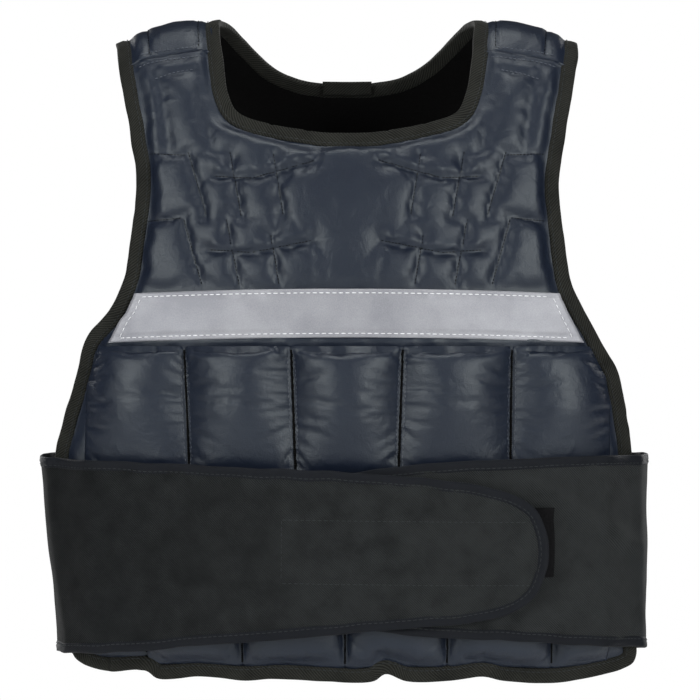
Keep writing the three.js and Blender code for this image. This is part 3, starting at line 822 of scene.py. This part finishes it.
def sew_over(cloth, name, across, below, lift, look, thread):
    """A row of stitches at the height that the front cloth has along a line."""
    x, y, height = cloth
    along = along_at(across, below, -1)
    row = np.abs(y[:, :1] - along[None]).argmin(axis=0)
    column = np.abs(x[row] - across[:, None]).argmin(axis=1)
    level = np.convolve(np.pad(height[row, column], 2, "edge"), np.ones(5) / 5, "valid")
    base, out = lifted(on_body, across, along, level + lift)
    stitches(name, base, out, *look, thread, "shell_nylon")


def chest_stitches(cloth):
    """Near-black stitching in the seams of the chest, dark enough to paint the seams' shade as
    well, and pale rows over the straps.
    """
    for k, line in enumerate(CHEST_SEAMS[:12]):
        for which, ((ax, ad), (bx, bd)) in enumerate((line, mirrored(line))):
            across, below = np.linspace(ax, bx, 40), np.linspace(ad, bd, 40)
            # near-black stitches: real stitching, and painted shade in the sunk seams
            sew_over(cloth, f"chest_seam_{k}_{which}", across, below, 0.25, (2.6, 1.9, 0.6), LINING_AND_SEAM_SHADE)
    for k, line in enumerate(STRAP_STITCHES):
        for which in (-1, 1):
            across, below = resample(catmull(np.array(line, float) * [which, 1], steps=20), 1.5).T
            name = f"strap_stitch_{k}_{which + 1}"
            sew_over(cloth, name, across, below, 0.4, (3.4, 2.3, 0.7), GREY_THREAD)


def build_shell(side):
    where = "front" if side < 0 else "back"
    flat_x, flat_y = shell_grid(side)
    margin = cloth_margin(flat_x, flat_y)
    x, y, cells = trim(flat_x, flat_y, margin, SHELL_MARGIN)
    below = depth_of(x, y)
    height = SHELL - 0.4 + wrinkles(x, y, 26, 3 + side) * 0.45
    if side < 0:
        x, y, puff = quilt(x, y, margin)
        height = height + puff + fold_over(x, below)
        # a roll of cloth over the tops of the pockets
        height += 2.2 * bump(below, POCKET_TOP - 4, 3.2) * (1 + 0.5 * noise(x, 0, 9, 6))
    else:
        height += quilt_lines(x, below, 100, 236)
    # low beside the tape, and low again under the foot of the pockets
    rise = smoothstep(margin + 3 * noise(x, y, 15, 21), 9, 21) * smoothstep(margin, 10.5, 15)
    height = lerp(np.minimum(height, BINDING_HIGH - 1.6), height, rise)
    covered = smoothstep(below, 438, 450) * (1 - smoothstep(np.abs(x), 186, 194))
    height = lerp(height, np.minimum(height, 2.4), covered)
    made = grid_solid(f"{where}_shell", on_body(x, y, height), on_body(x, y, 0.7), cells)
    dress(made, NYLON, "shell_nylon", f"{where}_panel")
    if side < 0:
        chest_stitches((x, y, height))
    x, y, cells = trim(flat_x, flat_y, margin, SHELL_MARGIN)
    inside = on_body(x, y, -0.5 + wrinkles(x, y, 30, 9) * 0.4)
    inner = grid_solid(f"{where}_lining", on_body(x, y, 0.5), inside, cells)
    dress(inner, LINING_AND_SEAM_SHADE, "binding_tape")


def quilt_lines(x, below, top, foot):
    """Shallow sewn channels down the upper back."""
    cell = np.abs(np.sin(np.pi * x / 33)) ** 0.6
    return 2.2 * (cell - 0.5) * window(below, top - 25, top, foot - 12, foot)


# Pockets


def pocket_cap(below):
    return lerp(POCKET_DEPTH, PRESSED_DEPTH, smoothstep(below, BELT_TOP - PRESS_FADE, BELT_TOP))


# Places across of the seams, at the top and the foot of the upper row, and in the lower row
UPPER_TOP = [-193, -120, -41, 41, 121.5, 196]
UPPER_FOOT = [-195, -115.5, -37.5, 37.5, 120, 195]
LOWER = [-195, -150, -78, -1.5, 74.5, 153, 195]
UPPER_COLUMNS = [0, 32, 64, 96, 128, 160]
LOWER_COLUMNS = [0, 18, 49, 80, 111, 142, 160]
POCKET_COLUMNS = 161
UPPER_ROWS = 40
LOWER_ROWS = 56
ROW_SEAM = POCKET_MEET + 9  # the seam between the rows lies just under the belt


def pocket_foot(x, side):
    """The depth of the pockets' lower seam, which lies just under the hem tape."""
    if side > 0:
        return HEM_DROP - 2 + 2 * np.cos(2 * np.pi * x / LOWER_PITCH) - BINDING_WIDTH + 0.5
    corner = HEM_CORNER[::-1]
    hem = [(-left, below) for below, left, _ in corner[::-1]] + FRONT_HEM
    hem += [(right, below) for below, _, right in corner]
    across, below = np.array(hem).T
    return np.interp(x / WAIST_HALF, across, below) * HEM_DROP - BINDING_WIDTH + 0.5


def pocket_grid(side):
    columns = np.arange(POCKET_COLUMNS)
    x, below = [], []
    for r in range(UPPER_ROWS + 1):
        t = r / UPPER_ROWS
        seams = lerp(np.array(UPPER_TOP, float), np.array(UPPER_FOOT, float), t)
        depth = lerp(POCKET_TOP, ROW_SEAM, t)
        room = BINDING_WIDTH + 1.5
        seams[0] = max(seams[0], room - edge_half(depth, -1, side))
        seams[-1] = min(seams[-1], edge_half(depth, 1, side) - room)
        x.append(np.interp(columns, UPPER_COLUMNS, seams))
        below.append(np.full(POCKET_COLUMNS, depth))
    for r in range(1, LOWER_ROWS + 1):
        t = r / LOWER_ROWS
        lower = np.interp(columns, LOWER_COLUMNS, LOWER)
        x.append(lerp(x[UPPER_ROWS], lower, float(smoothstep(r, 0, 5))))
        below.append(lerp(ROW_SEAM, pocket_foot(lower, side), t))
    return np.array(x) * (1 if side < 0 else -1), np.array(below)


def build_pockets(side):
    where = "front" if side < 0 else "back"
    x, below = pocket_grid(side)
    if side > 0:
        x = x[:, ::-1]
    y = along_at(x, below, side)
    pinned = np.zeros(x.shape, bool)
    pinned[[0, UPPER_ROWS, -1]] = True
    pinned[:, [0, -1]] = True
    for rows, seams in (
        (slice(UPPER_ROWS), UPPER_COLUMNS), (slice(UPPER_ROWS + 3, None), LOWER_COLUMNS),
    ):
        if side > 0:
            seams = [POCKET_COLUMNS - 1 - c for c in seams]
        pinned[rows, seams] = True
    # the row of tucks along the tops, before the filling swells the pockets
    start = np.where(pinned, -1.9, 0.0)
    columns = np.arange(POCKET_COLUMNS)
    gathers = np.abs(np.sin(np.pi * columns / 32)) ** 0.5
    start[0] = 6.5 * gathers + 1.2 * noise(columns, 0, 3.1, 5 + side) - 1.5
    start[:, [0, -1]] = -0.9
    px, py, swell = drape(x, y, start, pinned, 0.06, 6, 24, 0.4)
    cap = pocket_cap(below) - 2.2
    scale = cap / (np.percentile(swell, 98) + 1e-6)
    swell = swell * scale
    height = SHELL + LAYER_GAP + 0.5 + np.minimum(swell, cap + 1.4 * np.tanh((swell - cap) / 3))
    # valleys between the lower pockets where they show under the belt
    at_hem = smoothstep(below, 440, 456)
    for seam in LOWER[1:-1]:
        height -= 4.5 * bump(px - (seam if side < 0 else -seam), 0, 4.2) * at_hem
    # gathered toward the hem tape, and low beside it
    margin = cloth_margin(px, py)
    from_hem = np.minimum(margin, 60) + 60 * (below < 420)
    height += 1.5 * window(from_hem, 9, 13, 14, 26) * noise(x, 0, 4.6, 17 + side)
    height = lerp(np.minimum(height, BINDING_HIGH - 1), height, smoothstep(from_hem, 8, 23))
    floor = on_body(x, y, np.minimum(SHELL - 3.0, height - 1.5))
    made = grid_solid(f"{where}_pockets", on_body(px, py, height), floor)
    names = [f"{where}_pocket_upper_{i}" for i in range(1, 6)]
    names += [f"{where}_pocket_lower_{i}" for i in range(1, 7)]
    dress(made, NYLON, "shell_nylon", *names)
    if side < 0:
        seam_shade_and_stitches(px, py, height)
    return made


def seam_shade_and_stitches(x, y, height):
    """A near-black rod laid in each valley between two pockets, painted shade of the deep fold, and
    the stitches beside it.
    """

    def sewn(name, rows, column, lift, look, thread):
        base, out = lifted(on_body, x[rows, column], y[rows, column], height[rows, column] + lift)
        stitches(name, base, out, *look, thread, "shell_nylon")

    for k, column in enumerate(UPPER_COLUMNS[1:-1]):
        # near-black dashes that overlap into one rod: painted shade along the valley floor
        sewn(f"pocket_valley_shade_{k}", slice(1, UPPER_ROWS - 1), column, 0.4, (1.5, 1.9, 2.3), LINING_AND_SEAM_SHADE)
        for shift in (-1, 1):
            name = f"pocket_stitch_{k}_{shift + 1}"
            rows = slice(3, UPPER_ROWS - 1)
            sewn(name, rows, column + shift, 0.2, (3.4, 2.1, 0.5), GREY_THREAD)
    for k, column in enumerate(LOWER_COLUMNS[1:-1]):
        # the same near-black rods in the valleys that show under the belt: painted shade
        sewn(f"hem_valley_shade_{k}", slice(-22, -1), column, 0.3, (1.5, 1.9, 1.8), LINING_AND_SEAM_SHADE)


# Reflective strip


def build_strip():
    inset = BINDING_WIDTH + 3
    sag = 6
    v, u = np.meshgrid(np.linspace(0, 1, 25), np.linspace(0, 1, 150), indexing="ij")
    centre = STRIP_TOP + STRIP_HEIGHT * (1 - v)
    left = np.maximum(lerp(-176.0, -157.5, v), inset - edge_half(centre, -1, -1))
    right = np.minimum(lerp(180.0, 161.0, v), edge_half(centre, 1, -1) - inset)
    x = lerp(left, right, u)
    y = along_at(x, centre + sag * (x / WAIST_HALF) ** 2, -1)
    pucker = 0.5 * noise(x, y * 0.4, 6.5, 3) * (bump(v, 0.1, 0.12) + bump(v, 0.9, 0.12))
    top = SHELL + 2.0 + wrinkles(x, y, 40, 12, 2) * 0.5 + pucker
    top -= 0.7 * (bump(v, 0.11, 0.03) + bump(v, 0.89, 0.03))
    made = grid_solid("strip", on_body(x, y, top), on_body(x, y, top - 0.9))
    dress(made, STRIP, "reflective", "reflective_strip")
    wide, high = slice(3, 147), slice(2, 23)
    for k, at in enumerate(((2, wide), (22, wide), (high, 3), (high, 146))):
        base, out = lifted(on_body, x[at], y[at], top[at] + 0.25)
        stitches(f"strip_stitch_{k}", base, out, 4.9, 3.3, 0.75, WHITE_THREAD, "reflective")


# Tapes


def tape_ring():
    """A rounded flat section from 0 to 1 both ways."""
    turn = np.linspace(0, 2 * np.pi, 20, endpoint=False)
    u = np.sign(np.cos(turn)) * np.abs(np.cos(turn)) ** 0.55
    v = np.sign(np.sin(turn)) * np.abs(np.sin(turn)) ** 0.55
    return 0.5 - 0.5 * u, 0.5 + 0.5 * v


# Places across where the front neckline's tape is pinched
NECK_PINCHES = (-97, -57, -30, 30, 59, 101)


def build_tape(name, path, width, low, high, mapper, closed, material, slot, node, seed):
    """A folded tape along the edge of a cloth; it lies to the left of its path."""
    run = lengths(path)[: len(path)]
    wide = width * (1 + 0.05 * noise(run, 0, 30, seed))
    shift = 0.5 * noise(run, 0, 17, seed + 5)
    u, v = tape_ring()
    rings = []
    for a, b in zip(u, v):
        flat = beside(path, shift + a * wide, closed)
        fold = 0.35 * noise(run, 0 * run + 40 * a, 7, seed + 2)
        fold += 0.25 * noise(run, 0, 22, seed + 3)
        height = lerp(low, high, b) + fold * (0.3 + b)
        height = height - 0.5 * (b > 0.6) * bump(a, 0.76, 0.08)
        if node == "neck_binding" and b > 0.3 and a < 0.75:
            for place in NECK_PINCHES:
                height = height - 1.8 * bump(path[:, 0], place, 1.5) * (path[:, 1] < -20)
        rings.append(mapper(*flat.T, height))
    made = sweep(name, np.stack(rings, axis=1), closed)
    run_at, wide_at = np.meshgrid(run, u * width, indexing="ij")
    keep_flow(made, np.stack([run_at.ravel(), wide_at.ravel()], axis=-1))
    dress(made, material, slot, node)
    line = beside(path, shift + 0.76 * wide, closed)
    base, out = lifted(mapper, *line.T, high - 0.2)
    stitches(f"{name}_stitch", base, out, 4.2, 2.9, 0.55, DARK_THREAD, slot)
    return made


# Shoulder pads


# Stitch lines over the left shoulder as (across, below) places; the right side is a mirror
PAD_SEAMS = [[(-150, -12), (-150.5, 10), (-149, 29)], [(-112.5, -12), (-112.5, 10), (-112, 23)]]


def build_pad(which):
    name = "left" if which < 0 else "right"
    flat_x, flat_y = np.meshgrid(
        which * np.linspace(PAD_START, ARM_HALF, 76),
        np.linspace(-PAD_REACH - 1.5, PAD_REACH + 1.5, 58),
    )
    margin = cloth_margin(flat_x, flat_y)
    x, y, cells = trim(flat_x, flat_y, margin, SHELL_MARGIN)
    ends = PAD_REACH - np.abs(y)
    height = 7.2 + 2.6 * smoothstep(margin, 8, 34) * smoothstep(ends, -6, 24)
    for across in (151, 112.5):
        seam = bump(np.abs(x) + 1.2 * noise(y, 0, 18, 4), across, 1.8)
        height -= 1.1 * seam * smoothstep(ends, 0, 6)
    height += wrinkles(x, y * 0.8, 19, 31 + which) * 0.5
    height -= 1.3 * smoothstep(np.abs(y), PAD_REACH - 0.5, PAD_REACH + 1.2)
    height = lerp(np.minimum(height, BINDING_HIGH - 1.5), height, smoothstep(margin, 8, 17))
    made = grid_solid(f"shoulder_{name}", on_body(x, y, height), on_body(x, y, 0.4), cells)
    dress(made, NYLON, "shell_nylon", f"shoulder_pad_{name}")
    inner = grid_solid(
        f"shoulder_{name}_lining", on_body(x, y, 0.3), on_body(x, y, -0.5), cells
    )
    dress(inner, LINING_AND_SEAM_SHADE, "binding_tape")
    for k, line in enumerate(PAD_SEAMS):
        places = resample(catmull(np.array(line, float) * [-which, 1], steps=20), 1.5)
        along = along_at(places[:, 0], np.maximum(places[:, 1], 0), -1)
        along = along - np.minimum(places[:, 1], 0)
        column = (places[:, 0] - flat_x[0, 0]) / (flat_x[0, 1] - flat_x[0, 0])
        row = (along - flat_y[0, 0]) / (flat_y[1, 0] - flat_y[0, 0])
        surface = between(height, column, row) + 0.15
        base, out = lifted(on_body, places[:, 0], along, surface)
        stitches(f"shoulder_stitch_{name}_{k}", base, out, 3.4, 2.3, 0.65, LINING_AND_SEAM_SHADE, "shell_nylon")


# The belt


def belt_lift(across):
    over_pockets = SHELL + LAYER_GAP + PRESSED_DEPTH + BELT_MARGIN
    over_edge = BINDING_HIGH - BINDING_LOW + BELT_MARGIN
    outside = smoothstep(np.abs(across), 2.5 * UPPER_PITCH - 5, WAIST_HALF)
    return lerp(over_pockets, over_edge, outside)


def over_panel(across, below, side):
    along = along_at(across, below, side)
    lift = belt_lift(across) / np.abs(outward(across, along)[..., 1])
    return across, form_point(across, along)[..., 1] + side * lift


STRAIGHT = 0.68 * WAIST_HALF


def over_panel_at(distance, which, below, side):
    half = np.where(which < 0, edge_half(below, -1, side), edge_half(below, 1, side)) + SIDE_EASE
    past = np.maximum(0, distance - STRAIGHT) / (WAIST_HALF - STRAIGHT)
    across = np.where(distance <= STRAIGHT, distance, lerp(STRAIGHT, half, past))
    x, y = over_panel(which * across, below, side)
    return np.stack([x, y], axis=-1)


def side_points(which, below):
    front, back = (over_panel_at(WAIST_HALF, which, below, side) for side in (-1, 1))
    reach = SIDE_ROUND * np.linalg.norm(front - back, axis=-1, keepdims=True)

    def lead(edge, side):
        way = edge - over_panel_at(WAIST_HALF - 3, which, below, side)
        return edge + way / np.linalg.norm(way, axis=-1, keepdims=True) * reach

    return front, lead(front, -1), lead(back, 1), back


def bezier(a, b, c, d, t):
    t = t[..., None]
    return a * (1 - t) ** 3 + 3 * b * t * (1 - t) ** 2 + 3 * c * t**2 * (1 - t) + d * t**3


top_side = [p[None] for p in side_points(np.array(-1), np.array(float(BELT_TOP)))]
SIDE_SPAN = lengths(bezier(*top_side, np.linspace(0, 1, 400)))[-1]
BACK_CENTRE = 2 * WAIST_HALF + SIDE_SPAN
BACK_GAP = 0.15  # from each wing's end to the seam at the middle of the back


def belt_place(along, z):
    along, z = np.broadcast_arrays(np.asarray(along, float), np.asarray(z, float))
    which = np.where(along < 0, -1, 1)
    distance = np.abs(along)
    front = over_panel_at(np.minimum(distance, WAIST_HALF), which, -z, -1)
    back = over_panel_at(clamp(BACK_CENTRE - distance, -10, WAIST_HALF), which, -z, 1)
    turn = clamp((distance - WAIST_HALF) / SIDE_SPAN, 0, 1)
    side = bezier(*side_points(which, -z), turn)
    flat = np.where((distance <= WAIST_HALF)[..., None], front, side)
    flat = np.where((distance > WAIST_HALF + SIDE_SPAN)[..., None], back, flat)
    return np.concatenate([flat, z[..., None]], axis=-1)


STOP_STEP = 2.0
LEVEL_STEP = 4.0


def belt_map():
    """Places and outward directions of the belt on a dense grid, worked out once."""
    stops = np.arange(-BACK_CENTRE - 5, BACK_CENTRE + 5.1, STOP_STEP)
    levels = np.arange(-BELT_TOP - BELT_HEIGHT - 10, -BELT_TOP + 10.1, LEVEL_STEP)
    grid = belt_place(*np.meshgrid(stops, levels))
    normal = np.cross(np.gradient(grid, axis=1), np.gradient(grid, axis=0))
    normal /= np.linalg.norm(normal, axis=-1, keepdims=True)
    return stops, levels, np.concatenate([grid, normal], axis=-1)


STOPS, LEVELS, BELT_MAP = belt_map()


def on_belt(along, z, height):
    along, z = np.broadcast_arrays(np.asarray(along, float), np.asarray(z, float))
    place = between(BELT_MAP, (along - STOPS[0]) / STOP_STEP, (z - LEVELS[0]) / LEVEL_STEP)
    return place[..., :3] + place[..., 3:] * np.asarray(height, float)[..., None]


OVERLAP_LIFT = BELT_THICKNESS + 2 * TAPE_THICKNESS + 3 * LAYER_GAP


def belt_wave(along, z, seed):
    soft = wrinkles(along, z * 1.4, 70, 41 + seed, 2) * 1.0
    return soft + wrinkles(along, z * 0.8, 19, 44 + seed, 2) * 0.3


# Start along the belt, level there, slope, depth and length of each fold
RIGHT_CREASES = (
    (130, -345, -0.52, 2.6, 70), (128, -362, -0.5, -2.2, 70), (165, -384, -0.22, 1.9, 50),
    (118, -452, 0.95, -2.4, 22),
)


def right_creases(along, z):
    """Soft slanting folds where the lower wing is pulled tight."""
    total = 0
    for start, level, slope, depth, length in RIGHT_CREASES:
        end = start + length
        reach = window(along, start - 12, start + 12, end, end + 25)
        total = total + depth * bump(z - level, slope * (along - start), 6) * reach
    return total


def on_right_wing(along, z, height):
    foot = -BELT_TOP - BELT_HEIGHT
    inside = window(z, foot, foot + 30, -BELT_TOP - 22, -BELT_TOP - 4)
    return on_belt(along, z, height + belt_wave(along, z, 3) + right_creases(along, z) * inside)


def on_left_wing(along, z, height):
    over = smoothstep(along, -UNDER_REACH - 55, -UNDER_REACH - 3)
    wave = lerp(belt_wave(along, z, 0), belt_wave(along, z, 3), over)
    return on_belt(along, z, height + wave + OVERLAP_LIFT * over)


def wing_path(rows, reach, direction):
    middle, half = -(BELT_TOP + BELT_HEIGHT / 2), BELT_HEIGHT / 2
    ends = [lerp(WAIST_HALF, BACK_CENTRE - BACK_GAP, share) for share in (1, 0.66, 0.33)]
    points = [(-direction * along, middle + half) for along in ends]
    points += [(direction * a * reach, middle + r * half) for a, r in rows]
    points += [(-direction * along, middle - half) for along in ends[::-1]]
    return resample(catmull(points, steps=40), 2.6)


def build_wing(which, rows, reach, mapper):
    direction = 1 if which == "left" else -1
    path = wing_path(rows, reach, direction)
    if direction > 0:
        path = path[::-1]
    far = -direction * (BACK_CENTRE - BACK_GAP)
    past = far - direction * 30
    ends = sorted((far, direction * reach))
    columns = int((ends[1] - ends[0]) / 2.6)
    flat_x, flat_z = np.meshgrid(
        np.linspace(*ends, columns), np.linspace(-BELT_TOP - BELT_HEIGHT, -BELT_TOP, 60)
    )
    closed = np.vstack([path, [[past, path[-1][1]], [past, path[0][1]]]])
    to_edge = inside_by(flat_x, flat_z, closed[::2])
    x, z, cells = trim(flat_x, flat_z, to_edge, BELT_RAW_EDGE)
    top = mapper(x, z, BELT_THICKNESS)
    made = grid_solid(f"belt_{which}", top, mapper(x, z, 0), cells, (x, z))
    dress(made, BELT, "belt_cloth", f"belt_wing_{which}")
    low = -(3.4 - BELT_THICKNESS) / 2
    build_tape(
        f"belt_tape_{which}", path, BELT_TAPE, low, low + 3.7, mapper, False, EDGING, "belt_edging",
        f"belt_binding_{which}", 60 + direction,
    )
    return made


def build_fastener():
    levels = np.linspace(-TAPE_TOP - TAPE_HEIGHT - 3.5, -TAPE_TOP - 1.5, 12)
    low = BELT_THICKNESS + LAYER_GAP
    upper = low + TAPE_THICKNESS + LAYER_GAP
    for name, inner, outer, base in (("loop_patch", 10, 154, low), ("hook_patch", -48, 118, upper)):
        x, z = np.meshgrid(np.linspace(inner, outer, 50), levels)
        top = on_right_wing(x, z, base + TAPE_THICKNESS)
        made = grid_solid(f"{name}_pile", top, on_right_wing(x, z, base))
        dress(made, FUZZ, "fastener", name)
    box = [(-47.5, -TAPE_TOP - 9.5), (134, -TAPE_TOP - 12), (136.5, -TAPE_TOP - TAPE_HEIGHT - 9)]
    box += [(-48, -TAPE_TOP - TAPE_HEIGHT - 6.5)]
    for k, (start, end) in enumerate(((box[0], box[1]), (box[3], box[2]), (box[0], box[3]))):
        x, z = np.linspace(start, end, 120).T
        base, out = lifted(on_left_wing, x, z, BELT_THICKNESS + 0.3)
        stitches(f"flap_stitch_{k}", base, out, 4.4, 3.0, 0.6, DARK_THREAD, "belt_cloth")


def build_hang_loop():
    neckline = float(along_at(0, BACK_NECK_DROP, 1))
    x, y = np.meshgrid(np.linspace(-19, 19, 30), np.linspace(neckline - 4.5, neckline + 6.5, 10))
    height = -1.9 - 0.5 * bump(x, 0, 14)
    made = grid_solid("neck_loop", on_body(x, y, height), on_body(x, y, height - 1.4), flow=(x, y))
    dress(made, BINDING, "binding_tape", "hang_loop")


# Camera, light and floor


def build_camera():
    data = bpy.data.cameras.new("camera")
    distance, mm_per_pixel, subject = 4000, 0.75, -90
    data.sensor_width = 36
    data.lens = 36 * (distance + subject) / (700 * mm_per_pixel)
    data.clip_end = 100
    camera = bpy.data.objects.new("camera", data)
    camera.location = (2.25 * MM, -distance * MM, -248.5 * MM)
    camera.rotation_euler = (math.radians(90), 0, 0)
    bpy.context.scene.collection.objects.link(camera)
    bpy.context.scene.camera = camera


def build_light(name, place, aim, size, power):
    data = bpy.data.lights.new(name, "AREA")
    data.shape = "RECTANGLE"
    data.size, data.size_y = size
    data.energy = power
    light = bpy.data.objects.new(name, data)
    light.location = place
    light.rotation_euler = (Vector(aim) - Vector(place)).to_track_quat("-Z", "Y").to_euler()
    bpy.context.scene.collection.objects.link(light)


def build_world():
    world = bpy.data.worlds.new("studio")
    world.use_nodes = True
    tree = world.node_tree
    soft = tree.nodes["Background"]
    soft.inputs["Color"].default_value = (1, 1, 1, 1)
    soft.inputs["Strength"].default_value = 0.038
    plain = tree.nodes.new("ShaderNodeBackground")
    plain.inputs["Color"].default_value = (1, 1, 1, 1)
    path = tree.nodes.new("ShaderNodeLightPath")
    mix = tree.nodes.new("ShaderNodeMixShader")
    tree.links.new(path.outputs["Is Camera Ray"], mix.inputs[0])
    tree.links.new(soft.outputs[0], mix.inputs[1])
    tree.links.new(plain.outputs[0], mix.inputs[2])
    tree.links.new(mix.outputs[0], tree.nodes["World Output"].inputs["Surface"])
    bpy.context.scene.world = world


FLOOR_HALF = 1500
FLOOR_FRONT = -3000
FLOOR_BACK = 1000
FLOOR_LEVEL = -590


def build_floor():
    corners = [(-FLOOR_HALF, FLOOR_FRONT), (FLOOR_HALF, FLOOR_FRONT)]
    corners += [(FLOOR_HALF, FLOOR_BACK), (-FLOOR_HALF, FLOOR_BACK)]
    floor = make_mesh("floor", [(x, y, FLOOR_LEVEL) for x, y in corners], [(0, 1, 2, 3)])
    paint = bpy.data.materials.new("floor")
    paint.use_nodes = True
    paint.node_tree.nodes["Principled BSDF"].inputs["Base Color"].default_value = (1, 1, 1, 1)
    paint.node_tree.nodes["Principled BSDF"].inputs["Roughness"].default_value = 1
    floor.data.materials.append(paint)


# Place, aim and size in metres, and power in watts
MIDDLE = (0, 0, -0.25)
LIGHTS = [
    ("left", (-1.75, -1.95, 0.3), MIDDLE, (0.6, 1.4), 38),
    ("right", (1.75, -1.95, 0.3), MIDDLE, (0.6, 1.4), 41),
    ("front", (0, -3.0, 1.3), MIDDLE, (2.0, 1.2), 3.6),
    ("top", (0, -0.35, 1.7), (0, 0, 0), (1.0, 0.6), 17),
    ("back_left", (-1.5, 2.0, 0.3), MIDDLE, (0.7, 1.4), 26),
    ("back_right", (1.5, 2.0, 0.3), MIDDLE, (0.7, 1.4), 26),
]

build_camera()
build_world()
build_floor()
for light in LIGHTS:
    build_light(*light)
bpy.context.scene.view_settings.view_transform = "Standard"
for side in (-1, 1):
    build_shell(side)
    build_pockets(side)
build_strip()
for name, path, node, seed in (
    ("edge_tape", OUTER, "edge_binding", 1), ("neck_tape", NECK[::-1], "neck_binding", 2),
):
    build_tape(
        name, path, BINDING_WIDTH, BINDING_LOW, BINDING_HIGH, on_body, True, BINDING,
        "binding_tape", node, seed,
    )
for which in (-1, 1):
    build_pad(which)
build_wing("left", LEFT_WING, FLAP_REACH, on_left_wing)
build_wing("right", RIGHT_WING, UNDER_REACH, on_right_wing)
build_fastener()
build_hang_loop()
